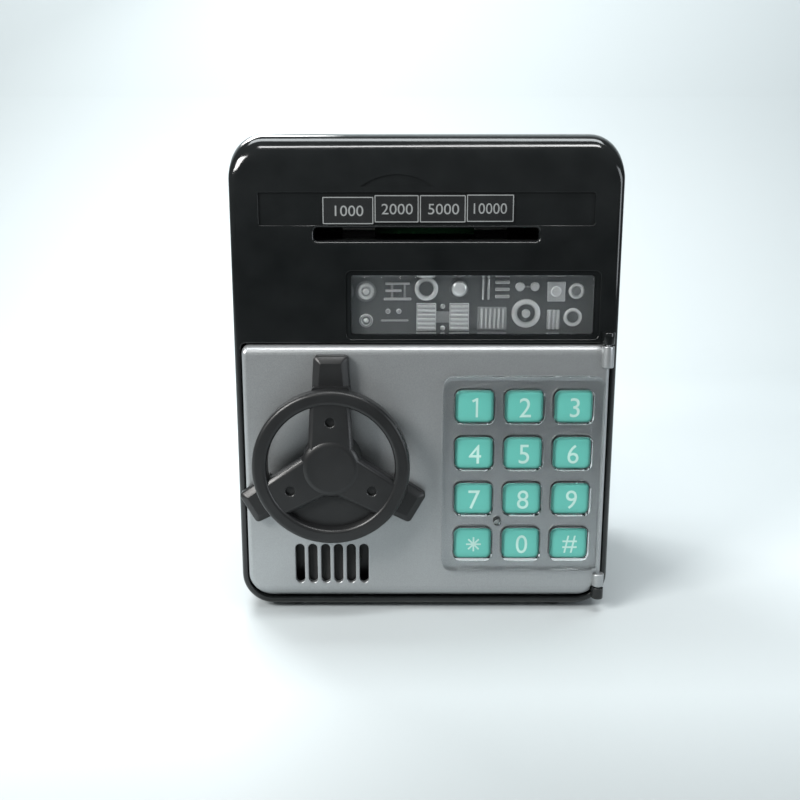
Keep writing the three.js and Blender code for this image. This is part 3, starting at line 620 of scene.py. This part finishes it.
hinge = {
    "x": 66.0, "radius": 2.2, "edge": 0.35, "gap": 0.5, "lugHigh": 4.5, "upperLug": 104.0, "lowerLug": 5.8,
    "barrelHigh": 8.0, "lowerBarrel": 5.0,
}
hingeY = doorY - 0.1


def hingeKnuckle(low, high):
    # a short barrel on the hinge's axis
    return turned(roundedRod(hinge["radius"], low, high, hinge["edge"]), (hinge["x"], hingeY), "z", 32)


def makeHingeKnuckles():
    r = hinge["radius"]
    x = hinge["x"]
    lugs = []
    for low in (hinge["upperLug"], hinge["lowerLug"]):
        high = low + hinge["lugHigh"]
        lugs.append(hingeKnuckle(low, high))
        lugs.append(boxRings(x - r, x + r, hingeY + 0.4, fasciaY + 2, low + 0.05, high - 0.05, 0.2))
    dress(solidObject("hingeLugs", lugs), "cabinet", "gloss_black", glossBlack)
    high = hinge["upperLug"] - hinge["gap"]
    low = hinge["lowerLug"] + hinge["lugHigh"] + hinge["gap"]
    upper, lower = hinge["barrelHigh"], hinge["lowerBarrel"]
    barrels = [hingeKnuckle(high - upper, high), hingeKnuckle(low, low + lower)]
    dress(solidObject("hingeBarrels", barrels), "door", "silver_paint", doorSilver)


coinSlot = {
    "half": 17.0, "wide": 4.6, "y": 14.3, "lip": 0.6, "round": 1.2, "deep": 6.0,
    "dishHalf": 24.0, "dishWide": 13.0, "dishDeep": 0.7, "dishLip": 0.35, "dishRound": 6.0,
}
footSeat = {"radius": 6.3, "low": 1.0, "high": 3.0}


def slotRings(halfX, halfY, radius, deep, lip, face):
    # a cutter for a slot in the top, its mouth rounded where it meets the face
    loop = outward(-halfX, halfX, coinSlot["y"] - halfY, coinSlot["y"] + halfY, radius)
    rings = [atZ(loop(lip), shell["top"] + 2)]
    rings += [atZ(loop(roundInset(d, lip)), face - d) for d in roundDepths(lip, 5)]
    return rings + [atZ(loop(0.0), face - deep)]


def makeBodyShell():
    front, back, wall, seam = shell["front"], shell["back"], shell["wall"], shell["seam"]
    sides = [(seam, front), (0, front + 0.3), (0, back - 0.3), (seam, back), (wall, back), (wall, front)]
    rings = []
    for inset, y in sides:
        left, right = shell["left"] + inset, shell["right"] - inset
        low, high = shell["bottom"] + inset, shell["top"] - inset
        rings.append(atY(roundRect(left, right, low, high, shell["corner"] - inset, steps=12), y))
    body = ringObject("bodyShell", rings)
    c = coinSlot
    top = shell["top"]
    dish = slotRings(c["dishHalf"], c["dishWide"] / 2, c["dishRound"], c["dishDeep"], c["dishLip"], top)
    mouth = slotRings(c["half"], c["wide"] / 2, c["round"], c["deep"], c["lip"], top - c["dishDeep"])
    cutters = [solidObject("dish", [dish]), solidObject("coinMouth", [mouth])]
    seat = [(footSeat["radius"], footSeat["low"]), (footSeat["radius"], footSeat["high"])]
    for centre in footCentres():
        if centre[1] > 0:  # the front feet stand under the front frame
            cutters.append(solidObject("footSeat", [turned(seat, centre, "z", 40)]))
    cutWith(body, cutters)
    dress(body, "cabinet", "gloss_black", glossBlack, "body_shell")


def footCentres():
    feet = [span(f"foot_{i}") for i in range(1, 5)]
    return [((s[0] + s[3]) / 2, (s[1] + s[4]) / 2) for s in feet]


cover = {
    "round": 3.6, "lip": 0.4, "hole": (-34.0, 34.0, 118.0, 166.0), "holeRound": 2.0,
    "screwInset": 9.5, "wellRadius": 3.4, "wellWall": 1.6, "wellDeep": 6.0,
    "shankBore": 1.9, "seatThick": 2.0,
}


def screwCentres():
    inset = cover["screwInset"]
    xs = (shell["left"] + inset, shell["right"] - inset)
    zs = (shell["bottom"] + inset, shell["top"] - inset)
    return [(x, z) for x in xs for z in zs]


def wellHole(centre):
    return lambda grow: circle(*centre, cover["wellRadius"] + grow)


def makeRearCover():
    c = cover
    box = span("rear_cover")
    front, back = box[1], box[4]
    wall = shell["wall"]
    outer = [cabinetRing(d, back - d, c["round"], c["round"]) for d in roundDepths(c["round"], 8)]
    outer.append(cabinetRing(straight, front + 0.3, c["round"], c["round"]))
    outer.append(cabinetRing(straight, front, c["round"], c["round"], shell["seam"]))
    inner = [cabinetRing(straight, y, 1, 1, wall) for y in (front, back - wall)]
    holes = [outward(*c["hole"], c["holeRound"])] + [wellHole(centre) for centre in screwCentres()]
    profile = [(roundInset(d, c["lip"]), back - d) for d in roundDepths(c["lip"], 4)] + [(0.0, back - wall)]
    body = shellObject("rearCover", outer, inner, holes, profile)
    dress(body, "cabinet", "satin_black", satinBlack, "rear_cover")
    r, outside, bore = c["wellRadius"], c["wellRadius"] + c["wellWall"], c["shankBore"]
    seat = back - c["wellDeep"]
    under = seat - c["seatThick"]
    skin = back - wall
    well = [(bore, seat), (r, seat), (r, skin), (outside, skin), (outside, under), (bore, under)]
    bm = bmesh.new()
    for centre in screwCentres():
        rings = turned(well, centre)
        joinRings(bm, rings + [rings[0]])
    dress(newObject("screwWells", finishMesh(bm, "screwWells")), "cabinet", "satin_black", satinBlack)


# radius and height of each turn of a foot, up to where it meets its seat
footProfile = [(0.02, 0.5), (2.6, 0.5), (3.0, 0.0), (4.9, 0.0), (5.5, 0.15), (5.9, 0.6), (6.0, 1.1)]


def makeFeet():
    for i, centre in enumerate(footCentres(), 1):
        profile = footProfile + [(footProfile[-1][0], span(f"foot_{i}")[5])]
        foot = solidObject(f"foot{i}", [turned(profile, centre, "z", 48)])
        dress(foot, "cabinet", "foot_rubber", footRubber, f"foot_{i}")


# ---- geometry nodes: rows of repeated bits ----
def rowTree(name, material):
    # copies of one source piece at equal steps from a starting place
    tree = bpy.data.node_groups.new(name, "GeometryNodeTree")
    face = tree.interface
    face.new_socket("Geometry", in_out="INPUT", socket_type="NodeSocketGeometry")
    for label, kind in (
        ("Source", "NodeSocketObject"), ("Count", "NodeSocketInt"),
        ("Start", "NodeSocketVector"), ("Step", "NodeSocketVector"),
    ):
        face.new_socket(label, in_out="INPUT", socket_type=kind)
    face.new_socket("Geometry", in_out="OUTPUT", socket_type="NodeSocketGeometry")
    nodes, links = tree.nodes, tree.links
    start = nodes.new("NodeGroupInput")
    end = nodes.new("NodeGroupOutput")
    line = nodes.new("GeometryNodeMeshLine")
    line.mode = "OFFSET"
    links.new(start.outputs["Count"], line.inputs["Count"])
    links.new(start.outputs["Start"], line.inputs["Start Location"])
    links.new(start.outputs["Step"], line.inputs["Offset"])
    info = nodes.new("GeometryNodeObjectInfo")
    links.new(start.outputs["Source"], info.inputs["Object"])
    put = nodes.new("GeometryNodeInstanceOnPoints")
    links.new(line.outputs["Mesh"], put.inputs["Points"])
    links.new(info.outputs["Geometry"], put.inputs["Instance"])
    real = nodes.new("GeometryNodeRealizeInstances")
    links.new(put.outputs["Instances"], real.inputs["Geometry"])
    paint = nodes.new("GeometryNodeSetMaterial")
    paint.inputs["Material"].default_value = material
    links.new(real.outputs["Geometry"], paint.inputs["Geometry"])
    links.new(paint.outputs["Geometry"], end.inputs["Geometry"])
    return tree


def rowOf(name, source, count, start, step, material, angle=32):
    # runs the tree once and keeps the result as a plain mesh
    tree = rowTree(name + "Tree", material)
    holder = newObject(name, bpy.data.meshes.new(name))
    modifier = holder.modifiers.new("row", "NODES")
    modifier.node_group = tree
    start, step = Vector(start) / perMetre, Vector(step) / perMetre
    values = {"Source": source, "Count": count, "Start": start, "Step": step}
    for item in tree.interface.items_tree:
        if item.item_type == "SOCKET" and item.in_out == "INPUT" and item.name in values:
            modifier[item.identifier] = values[item.name]
    graph = bpy.context.evaluated_depsgraph_get()
    made = bpy.data.meshes.new_from_object(holder.evaluated_get(graph))
    holder.modifiers.clear()
    holder.data = made
    made.name = name
    shade(made, angle)
    return holder


def dropObject(thing):
    mesh = thing.data
    bpy.data.objects.remove(thing)
    bpy.data.meshes.remove(mesh)


def mergeInto(target, others):
    # one mesh from several, all in the same place
    bm = bmesh.new()
    for thing in [target] + others:
        bm.from_mesh(thing.data)
    name = target.data.name
    made = bpy.data.meshes.new(name + "Merged")
    bm.to_mesh(made)
    bm.free()
    target.data = made
    for thing in others:
        dropObject(thing)
    shade(made)
    return target


batteryLid = {
    "radius": 2.0, "edge": 0.5, "ribProud": 0.45, "ribs": 6, "ribPitch": 2.2, "ribHalf": 9.0,
    "ribRadius": 0.42, "ribEdge": 0.5, "ribTop": 160.5,
}


def makeBatteryLid():
    b = batteryLid
    s = span("battery_cover")
    face = s[4] - b["ribProud"]
    edge = b["edge"]
    profile = [(roundInset(d, edge), face - d) for d in roundDepths(edge, 4)] + [(0.0, s[1])]
    lid = plateObject("batteryLid", inward(s, b["radius"]), [], profile, [])
    half = b["ribHalf"]
    end = [(0.02, -half), (0.3, -half + 0.1), (b["ribRadius"], -half + b["ribEdge"])]
    rib = solidObject("rib", [turned(end + [(r, -along) for r, along in reversed(end)], (0, 0), "x", 12)])
    ribs = rowOf("lidRibs", rib, b["ribs"], (0, face, b["ribTop"]), (0, 0, -b["ribPitch"]), satinBlack)
    dropObject(rib)
    mergeInto(lid, [ribs])
    dress(lid, "battery_cover", "satin_black", satinBlack, "battery_cover")


# radius and depth of a pan head screw, and the half width and half length of its cross recess
screw = {
    "head": [(0.02, 0.0), (1.4, -0.05), (2.2, -0.3), (2.8, -0.8), (3.0, -1.4), (3.0, -2.0)],
    "shank": [(1.6, -2.0), (1.6, -21.0), (0.9, -22.0), (0.02, -22.0)],
    "armHalf": 0.42, "armLong": 1.8, "armDeep": 1.15,
}


def makeScrews():
    thin, long, deep = screw["armHalf"], screw["armLong"], screw["armDeep"]
    one = solidObject("screw", [turned(screw["head"] + screw["shank"], (0, 0), "y", 36)])
    arms = [boxRings(-x, x, -deep, 0.8, -z, z, 0.1) for x, z in ((thin, long), (long, thin))]
    cutWith(one, [solidObject("slotArm", [arm]) for arm in arms])
    top = span("rear_screw_1")[4]
    centres = screwCentres()
    columns = []
    for k in (0, 2):
        x, z = centres[k]
        rise = centres[k + 1][1] - z
        columns.append(rowOf(f"rearScrews{k // 2 + 1}", one, 2, (x, top, z), (0, 0, rise), screwSteel))
    dropObject(one)
    mergeInto(columns[0], [columns[1]])
    dress(columns[0], "cabinet", "screw_steel", screwSteel, *[f"rear_screw_{i}" for i in range(1, 5)])


makeFrontFrame()
makeHingeKnuckles()
makeBodyShell()
makeRearCover()
makeFeet()
makeBatteryLid()
makeScrews()
print("cabinet ready")


# ---- window and the relief behind it ----
relief = {
    "left": -26.8, "top": 128.4, "wide": 87.5, "high": 21.1, "overlap": 0.4, "plate": 1.5,
    "ribs": 6, "ribPitch": 1.6, "postPitch": 1.55, "endPosts": 3, "endPitch": 1.5,
}
# across and down from the corner, radius, depth below the highest point, then an edge and a dish
bosses = (
    (5, 6, 4.1, 1.3), (5, 6, 3.0, 0.7, 0.5, 0.5), (5, 6, 1.2, 0.3),  # a stepped boss
    (5, 16.6, 2.6, 0.9, 0.5, 0.4), (5, 16.6, 0.9, 0.5),
    (13, 13.2, 1.0, 0.9), (17, 13.2, 1.0, 0.9),
    (27, 5, 4.3, 0.4, 0.5, 1.7), (27, 5, 5.0, 1.5),  # a ring with a deep bore
    (39, 5, 3.1, 0.5, 1.4), (39, 5, 3.9, 1.4),  # a dome
    (33, 11.4, 0.9, 0.8), (33, 19.4, 0.9, 0.8),
    (63.4, 14.0, 5.3, 0.6, 0.5, 1.5), (63.4, 14.0, 1.6, 0.8),  # the largest ring
    (61, 4.2, 1.7, 0.8), (66.4, 4.2, 1.7, 0.8), (74.2, 6.0, 2.0, 0.4),
    (81.6, 5.8, 2.9, 0.7, 0.5, 0.6), (80.5, 15.4, 3.4, 0.6, 0.5, 1.2),
)
# from and to across, from and to down, and depth below the highest point
blocks = (
    (12, 21, 2.6, 3.6, 1.0), (12, 18, 5.2, 6.2, 1.0), (11.5, 21.5, 8.2, 9.2, 0.9),  # bars and a bracket
    (14, 15, 2.6, 9.2, 1.2), (18.6, 19.6, 2.6, 9.2, 1.2), (10.4, 20.5, 16.2, 17.0, 1.1),
    (23.4, 30.6, 10.2, 20.4, 0.9), (35.4, 42.6, 10.2, 20.4, 0.9),  # two boxes and their bracket
    (30.5, 35.5, 13.2, 17.6, 1.2),
    (47.2, 48.0, 1.2, 9.0, 0.8), (49.2, 50.0, 1.2, 9.0, 0.8),
    (52.0, 57.2, 2.0, 3.2, 0.9), (52.0, 57.2, 4.6, 5.8, 0.9), (52.0, 57.2, 7.2, 8.4, 0.9),
    (45.6, 56.4, 11.6, 20.0, 1.2), (59.6, 68.0, 3.8, 4.6, 1.2),
    (71, 77.5, 2.4, 9.6, 0.9), (71, 75.8, 12.6, 19.8, 1.1),
)


def boss(u, v, r, front, base, edge=0.5, dish=0.0):
    # a round boss, or a shallow cup when it has a dish
    profile = []
    if dish:
        bottom = front + dish
        profile += [(0.02, bottom), (r * 0.55, bottom), (r * 0.62, front + dish * 0.4), (r * 0.7, front)]
    profile += [(r - roundInset(d, edge), front + d) for d in roundDepths(edge, 4)]
    profile.append((r, base))
    return turned(profile, (relief["left"] + u, relief["top"] - v), "y", 32)


def block(u0, u1, v0, v1, front, base, edge=0.25):
    left, top = relief["left"], relief["top"]
    return boxRings(left + u0, left + u1, front, base, top - v1, top - v0, edge)


def makeRelief():
    f = relief
    s = span("relief_panel")
    near, back = s[1], s[4]
    face = back - f["plate"]
    base = face + 0.4
    lap = f["overlap"]
    solids = [block(-lap, f["wide"], -lap, f["high"] + lap, face, back, 0.1)]
    solids += [boss(u, v, r, near + sunk, base, *form) for u, v, r, sunk, *form in bosses]
    solids += [block(u0, u1, v0, v1, near + sunk, base) for u0, u1, v0, v1, sunk in blocks]
    panel = solidObject("reliefPanel", solids)
    rib = solidObject("rib", [boxRings(-3.2, 3.2, -0.45, 0.4, -0.38, 0.38, 0.15)])
    post = solidObject("post", [boxRings(-0.35, 0.35, -0.4, 0.4, -3.6, 3.6, 0.15)])
    rows = (
        # name, piece, how many, place across and down, depth, step across and up
        ("boxRibs0", rib, f["ribs"], 27, 11.3, 0.6, 0, -f["ribPitch"]),
        ("boxRibs1", rib, f["ribs"], 39, 11.3, 0.6, 0, -f["ribPitch"]),
        ("blockRibs", post, f["ribs"], 47.2, 15.8, 0.9, f["postPitch"], 0),
        ("endRibs", post, f["endPosts"], 71.9, 16.2, 0.8, f["endPitch"], 0),
    )
    extra = []
    for name, piece, count, u, v, sunk, across, up in rows:
        start = (f["left"] + u, near + sunk, f["top"] - v)
        extra.append(rowOf(name, piece, count, start, (across, 0, up), reliefSilver))
    dropObject(rib)
    dropObject(post)
    mergeInto(panel, extra)
    dress(panel, "cabinet", "relief_silver", reliefSilver, "relief_panel")


lensPiece = {"sunk": 0.75, "round": 0.9, "flange": 1.0, "flangeThick": 0.8}


def makeWindowLens():
    w = lensPiece
    x0, x1, z0, z1 = fascia["window"]
    front = fasciaY + w["sunk"]
    back = span("window_lens")[4]
    step = back - w["flangeThick"]
    outer = inward((x0, 0, z0, x1, 0, z1), w["round"])
    profile = [(0.75, front), (0.6, front + 0.06), (0.12, front + 0.55), (0.0, front + 0.9), (0.0, step)]
    flange = [(-w["flange"], step), (-w["flange"], back)]
    lens = solidObject("windowLens", [[atY(outer(i), y) for i, y in profile + flange]])
    dress(lens, "cabinet", "clear_plastic", clearStyrene, "window_lens")


# each strip's figures, how far they are stretched and how far they sit right of its middle
labels = {
    "high": 3.7, "round": 0.4, "edge": 0.06, "line": 0.34, "inset": 0.08, "proud": 0.04,
    "text": ("1000", "2000", "5000", "10000"),
    "stretch": (1.08, 1.08, 1.08, 0.98),
    "shift": (0.4, 0.2, 0.3, 0.0),
}


def textMesh(name, text, high, centre, front, deep=0.06, squeeze=1.0):
    # flat lettering turned to face the front; high is the height of its figures
    curve = bpy.data.curves.new(name, "FONT")
    curve.body = text
    curve.resolution_u = 4
    curve.extrude = 0.5
    thing = newObject(name + "Curve", curve)
    graph = bpy.context.evaluated_depsgraph_get()
    mesh = bpy.data.meshes.new_from_object(thing.evaluated_get(graph))
    bpy.data.objects.remove(thing)
    bpy.data.curves.remove(curve)
    xs = [v.co.x for v in mesh.vertices]
    ys = [v.co.y for v in mesh.vertices]
    middle = ((min(xs) + max(xs)) / 2, (min(ys) + max(ys)) / 2)
    scale = high / (max(ys) - min(ys))
    for v in mesh.vertices:
        x = (v.co.x - middle[0]) * scale * squeeze + centre[0]
        z = (v.co.y - middle[1]) * scale + centre[1]
        y = front if v.co.z > 0 else front + deep
        v.co = Vector((x, y, z)) / perMetre
    bm = bmesh.new()
    bm.from_mesh(mesh)
    bmesh.ops.remove_doubles(bm, verts=bm.verts, dist=1e-7)
    bmesh.ops.recalc_face_normals(bm, faces=bm.faces)
    bm.to_mesh(mesh)
    bm.free()
    mesh.name = name
    return newObject(name, mesh)


def drawnIn(loop, inset):
    # the same loop as an opening, which grows with its argument
    return lambda grow: loop(inset - grow)


def makeLabels():
    c = labels
    for i, (text, stretch, shift) in enumerate(zip(c["text"], c["stretch"], c["shift"]), 1):
        s = span(f"value_label_{i}")
        loop = inward(s, c["round"], 3)
        face = s[1] + c["edge"]
        profile = [(c["edge"], face), (0.0, face + c["edge"]), (0.0, s[4])]
        strip = plateObject(f"valueStrip{i}", loop, [], profile, [])
        dress(strip, "cabinet", "label_black", labelBlack, f"value_label_{i}")
        ink = face - c["proud"]
        sides = [(0.0, ink), (0.0, face + 0.02)]
        outer = [atY(loop(c["inset"]), y) for grow, y in sides]
        rim = shellObject(f"valueOutline{i}", outer, [], [drawnIn(loop, c["inset"] + c["line"])], sides)
        dress(rim, "cabinet", "label_black", labelPrint)
        x, z = middleXZ(s)
        figures = textMesh(f"valueFigures{i}", text, c["high"], (x + shift, z - 0.1), ink, squeeze=stretch)
        dress(figures, "cabinet", "label_black", labelPrint)


makeRelief()
makeWindowLens()
makeLabels()
print("window, relief and value strips ready")


# ---- door ----
door = {
    "half": 67.0, "low": 5.5, "high": 103.5, "deep": 11.0, "wall": 2.2, "topRound": 3.3, "bottomRound": 5.0,
    "sideRound": 1.6, "corner": 9.0, "topCorner": 2.6, "taper": 1.2, "lip": 0.45, "bore": 3.3,
    "slots": 6, "slotX": -47.3, "slotPitch": 4.85, "slotHalf": 1.7, "slotLow": 11.9, "slotHigh": 27.4,
}
keypad = {"plateRound": 4.0, "bevel": 1.1, "holeBevel": 0.12, "holeGap": 0.3, "holeRound": 2.8}
keyCap = {"edge": 1.3, "flange": 1.0, "flangeThick": 1.2, "round": 2.2, "crown": 0.18, "figureHigh": 7.2}
keyNames = ["1", "2", "3", "4", "5", "6", "7", "8", "9", "star", "0", "hash"]


def keyOpening(name):
    s = span(f"key_{name}")
    inset = keyCap["flange"] - keypad["holeGap"]
    return outward(s[0] + inset, s[3] - inset, s[2] + inset, s[5] - inset, keypad["holeRound"], steps=6)


def roundHole(node, radius, steps=36):
    # a round opening in line with a node, which grows with its argument
    x, z = middleXZ(span(node))
    return lambda grow: circle(x, z, radius + grow, steps)


def indicatorHole():
    s = span("indicator_lens")
    return roundHole("indicator_lens", (s[3] - s[0]) / 2 + keypad["holeGap"], 24)


def doorLoop(depth, extraLeft=0.0):
    d = door
    side = roundInset(depth, d["sideRound"])
    low = roundInset(depth, d["bottomRound"])
    high = roundInset(depth, d["topRound"])
    return roundRect(
        -d["half"] + side + extraLeft, d["half"] - side, d["low"] + low, d["high"] - high,
        d["corner"] - (side + low) / 2, d["topCorner"] - (side + high) / 2.2, 12,
    )


def makeDoorSkin():
    d = door
    back = doorY + d["deep"]
    wall = d["wall"]
    edges = ((d["bottomRound"], 8), (d["topRound"], 6), (d["sideRound"], 4))
    depths = {depth for radius, steps in edges for depth in roundDepths(radius, steps)}
    outer = [atY(doorLoop(depth), doorY + depth) for depth in sorted(depths)]
    outer.append(atY(doorLoop(straight, d["taper"]), back))
    left, right = -d["half"] + wall + 0.5, d["half"] - wall
    pocket = roundRect(left, right, d["low"] + wall, d["high"] - wall, d["corner"] - wall, 1.0, 12)
    inner = [atY(pocket, back), atY(pocket, doorY + wall)]
    slots = []
    for i in range(d["slots"]):
        x = d["slotX"] + i * d["slotPitch"]
        half = d["slotHalf"]
        slots.append(outward(x - half, x + half, d["slotLow"], d["slotHigh"], half, steps=6))
    holes = [keyOpening(n) for n in keyNames] + slots
    holes += [indicatorHole(), roundHole("handle_shaft", d["bore"])]
    profile = [(roundInset(q, d["lip"]), doorY + q) for q in roundDepths(d["lip"], 4)]
    profile.append((0.0, doorY + wall))
    skin = shellObject("doorSkin", outer, inner, holes, profile)
    # room for the lower hinge lug
    lugTop = hinge["lowerLug"] + hinge["lugHigh"] + hinge["gap"] / 2
    corner = roundRect(hinge["x"] - hinge["radius"] - hinge["gap"], 75, -5, lugTop, 0.4, steps=2)
    notch = [atY(corner, y) for y in (doorY - 5, back + 5)]
    cutWith(skin, [solidObject("lugNotch", [notch])])
    dress(skin, "door", "silver_paint", doorSilver, "door_skin")


def makeKeypadPlate():
    s = span("keypad_bezel")
    k = keypad
    front, back = s[1], s[4]
    b = k["bevel"]
    profile = [(b + 0.25, front), (b, front + 0.06), (0.2, front + b - 0.05), (0.0, front + b + 0.3)]
    profile += [(0.0, back - 0.15), (0.15, back)]
    h = k["holeBevel"]
    holeProfile = [(h + 0.1, front), (h - 0.05, front + 0.06), (0.0, front + h + 0.1), (0.0, back)]
    holes = [keyOpening(n) for n in keyNames] + [indicatorHole()]
    plate = plateObject("keypadPlate", inward(s, k["plateRound"]), holes, profile, holeProfile)
    dress(plate, "door", "clear_plastic", clearStyrene, "keypad_bezel")


starTurns = (0, 0.785, 1.571, 2.356)
# each stroke runs between two points, in figure heights from the middle
strokes = {
    "star": [(math.cos(a) / 2, math.sin(a) / 2, -math.cos(a) / 2, -math.sin(a) / 2) for a in starTurns],
    "1": [(0.06, -0.5, 0.06, 0.5), (0.06, 0.44, -0.17, 0.33)],
}
figures = {
    "wide": {"star": 0.62, "1": 0.85},  # how wide the strokes are drawn
    "high": {"star": 5.6, "hash": 6.8},  # the rest have the height of keyCap
    "text": {"hash": "#"},
    "sunk": 0.03, "deep": 0.09, "squeeze": 0.95, "right": 0.35, "down": 0.3,
}


def strokeMesh(name, lines, high, centre, front, wide, deep):
    # a figure made of straight strokes standing a little off its key
    bm = bmesh.new()
    for k, (x0, z0, x1, z1) in enumerate(lines):
        a = Vector((x0, z0)) * high
        b = Vector((x1, z1)) * high
        side = (b - a).normalized().orthogonal() * wide / 2
        loop = [(centre[0] + p.x, centre[1] + p.y) for p in (a - side, b - side, b + side, a + side)]
        lift = 0.004 * k  # keeps crossing strokes apart
        addSolid(bm, [atY(loop, front - lift), atY(loop, front + deep + lift)])
    return newObject(name, finishMesh(bm, name))


def keyLoop(box, flange, corner, shrink):
    # a loop this far inside a key's flange, which draws in with its argument
    inner = (box[0] + flange, 0, box[2] + flange, box[3] - flange, 0, box[5] - flange)
    return inward(inner, corner, 7, shrink)


def makeKeys():
    c = keyCap
    for name in keyNames:
        s = span(f"key_{name}")
        step = s[4] - c["flangeThick"]
        cap = keyLoop(s, c["flange"], c["round"], 0.7)
        wide = keyLoop(s, 0.0, c["round"] + c["flange"], 1.0)
        rings = [atY(cap(c["edge"] + 2.2), s[1])]
        for q in roundDepths(c["edge"], 6):
            crown = c["crown"] * (1 - q / c["edge"])
            rings.append(atY(cap(roundInset(q, c["edge"]) + crown), s[1] + 0.05 + q))
        rings += [atY(cap(0.0), step), atY(wide(0.0), step), atY(wide(0.0), s[4])]
        key = solidObject(f"key{name.capitalize()}", [rings], 40)
        dress(key, f"key_{name}", "key_teal", keyTeal, f"key_{name}")
        label = f"keyFigure{name.capitalize()}"
        f = figures
        x, z = middleXZ(s)
        middle = (x + f["right"], z - f["down"])
        high = f["high"].get(name, c["figureHigh"])
        front = s[1] - f["sunk"]
        if name in strokes:
            figure = strokeMesh(label, strokes[name], high, middle, front, f["wide"][name], f["deep"])
        else:
            text = f["text"].get(name, name)
            figure = textMesh(label, text, high, middle, front, f["deep"], f["squeeze"])
        dress(figure, f"key_{name}", "key_teal", keyPrint)


def makeIndicator():
    s = span("indicator_lens")
    r = (s[3] - s[0]) / 2
    profile = [(0.02, s[1]), (r * 0.5, s[1] + 0.1), (r * 0.85, s[1] + 0.35), (r, s[1] + 0.8), (r, s[4])]
    lens = solidObject("indicatorLens", [turned(profile, middleXZ(s), "y", 24)])
    dress(lens, "door", "indicator_grey", indicatorSmoke, "indicator_lens")


makeDoorSkin()
makeKeypadPlate()
makeKeys()
makeIndicator()
print("door and keys ready")


# ---- handle ----
wheelX, wheelZ = middleXZ(span("handle_shaft"))
wheel = {
    "ring": 28.5, "ringWide": 5.4, "ringDeep": 6.5, "ringEdge": 1.5, "ringHeel": 0.6, "hub": 11.0,
    "lug": 36.5, "topLug": 39.5, "tipWide": 13.0, "hubWide": 17.0, "clear": 0.7,
    "armBack": 0.5, "armBevel": 1.6, "armDrop": 0.7, "lugBack": 8.0, "lugBevel": 2.6, "lugDrop": 1.5,
    "webBack": 4.0, "webSteps": 32, "dimpleAt": 17.0, "dimple": 1.75, "dimpleDeep": 2.0,
}


def spoke(angle, along, across=0.0):
    # a point this far out from the wheel's middle and this far to its left
    c, s = math.cos(angle), math.sin(angle)
    return (wheelX + along * c - across * s, wheelZ + along * s + across * c)


def lugLoop(angle, near, far, inset, corner=1.6, steps=5):
    # a tapering lug with rounded corners at its far end
    w = wheel

    def halfAt(r):
        return (w["hubWide"] + (w["tipWide"] - w["hubWide"]) * r / w["lug"]) / 2 - inset

    local = [(near + inset, -halfAt(near))]
    r = max(corner - inset * 0.6, 0.4)
    top = far - inset
    edge = halfAt(far)
    for sign, start in ((-1, -90), (1, 0)):
        for i in range(steps + 1):
            a = math.radians(start + 90 * i / steps)
            local.append((top - r + r * math.cos(a), sign * (edge - r) + r * math.sin(a)))
    local.append((near + inset, halfAt(near)))
    return [spoke(angle, along, across) for along, across in local]


def lugBlock(angle, near, far, front, back, bevel, drop):
    # a lug whose front slopes down to its sides and tip, then turns a small rounded edge
    slope = [(bevel, 0.0), (bevel - 0.3, drop * 0.1), (0.45, drop * 0.9)]
    slope += [(0.12, drop + 0.2), (0.0, drop + 0.6)]
    rings = [atY(lugLoop(angle, near, far, inset), front + y) for inset, y in slope]
    return rings + [atY(lugLoop(angle, near, far, 0.0), back)]


def makeHandle():
    w = wheel
    centre = (wheelX, wheelZ)
    front = handleFront
    back = front + w["ringDeep"]
    foot = doorY - w["clear"]
    outer, inner = w["ring"], w["ring"] - w["ringWide"]
    edge, heel = w["ringEdge"], w["ringHeel"]
    section = [(outer - roundInset(q, edge), front + q) for q in roundDepths(edge, 6)]
    section += [(outer - roundInset(q, heel), back - q) for q in reversed(roundDepths(heel, 3))]
    section += [(inner + roundInset(q, heel), back - q) for q in roundDepths(heel, 3)]
    section += [(inner + roundInset(q, edge), front + q) for q in reversed(roundDepths(edge, 6))]
    body = ringObject("handleWheel", turned(section, centre, "y", 96))
    hub = w["hub"]
    cap = [(0.02, front), (hub - 2.6, front), (hub - 1.8, front + 0.12)]
    cap += [(hub - 0.5, front + 0.9), (hub, front + 1.6), (hub, foot)]
    parts = [solidObject("hub", [turned(cap, centre, "y", 64)])]
    angles = [math.pi / 2 + i * 2 * math.pi / 3 for i in range(3)]
    for a, tipAt in zip(angles, (w["topLug"], w["lug"], w["lug"])):
        arm = lugBlock(a, 0.0, w["ring"] - 1, front + w["armBack"], back, w["armBevel"], w["armDrop"])
        leg = [atY(lugLoop(a, inner - 0.5, w["ring"] + 0.3, 0.0), y) for y in (back - 1, foot)]
        tip = lugBlock(a, w["ring"] - 3, tipAt, front + w["lugBack"], foot, w["lugBevel"], w["lugDrop"])
        parts += [solidObject(name, [rings]) for name, rings in (("arm", arm), ("leg", leg), ("tip", tip))]
    # a web between the two lower arms
    web = [centre]
    for i in range(w["webSteps"] + 1):
        a = angles[1] + (angles[2] - angles[1]) * i / w["webSteps"]
        web.append(spoke(a, w["ring"] - 1.5))
    parts.append(solidObject("web", [[atY(web, front + w["webBack"]), atY(web, back - 0.5)]]))
    cutWith(body, parts, "UNION")
    r = w["dimple"]
    bowl = [(r + 0.5, front - 1), (r + 0.5, front + 0.3), (r, front + 0.7), (r, front + w["dimpleDeep"])]
    dimples = [solidObject("dimple", [turned(bowl, spoke(a, w["dimpleAt"]), "y", 32)]) for a in angles]
    cutWith(body, dimples)
    dress(body, "handle", "satin_black", handleBlack, "handle_wheel")


makeHandle()
print("handle ready")
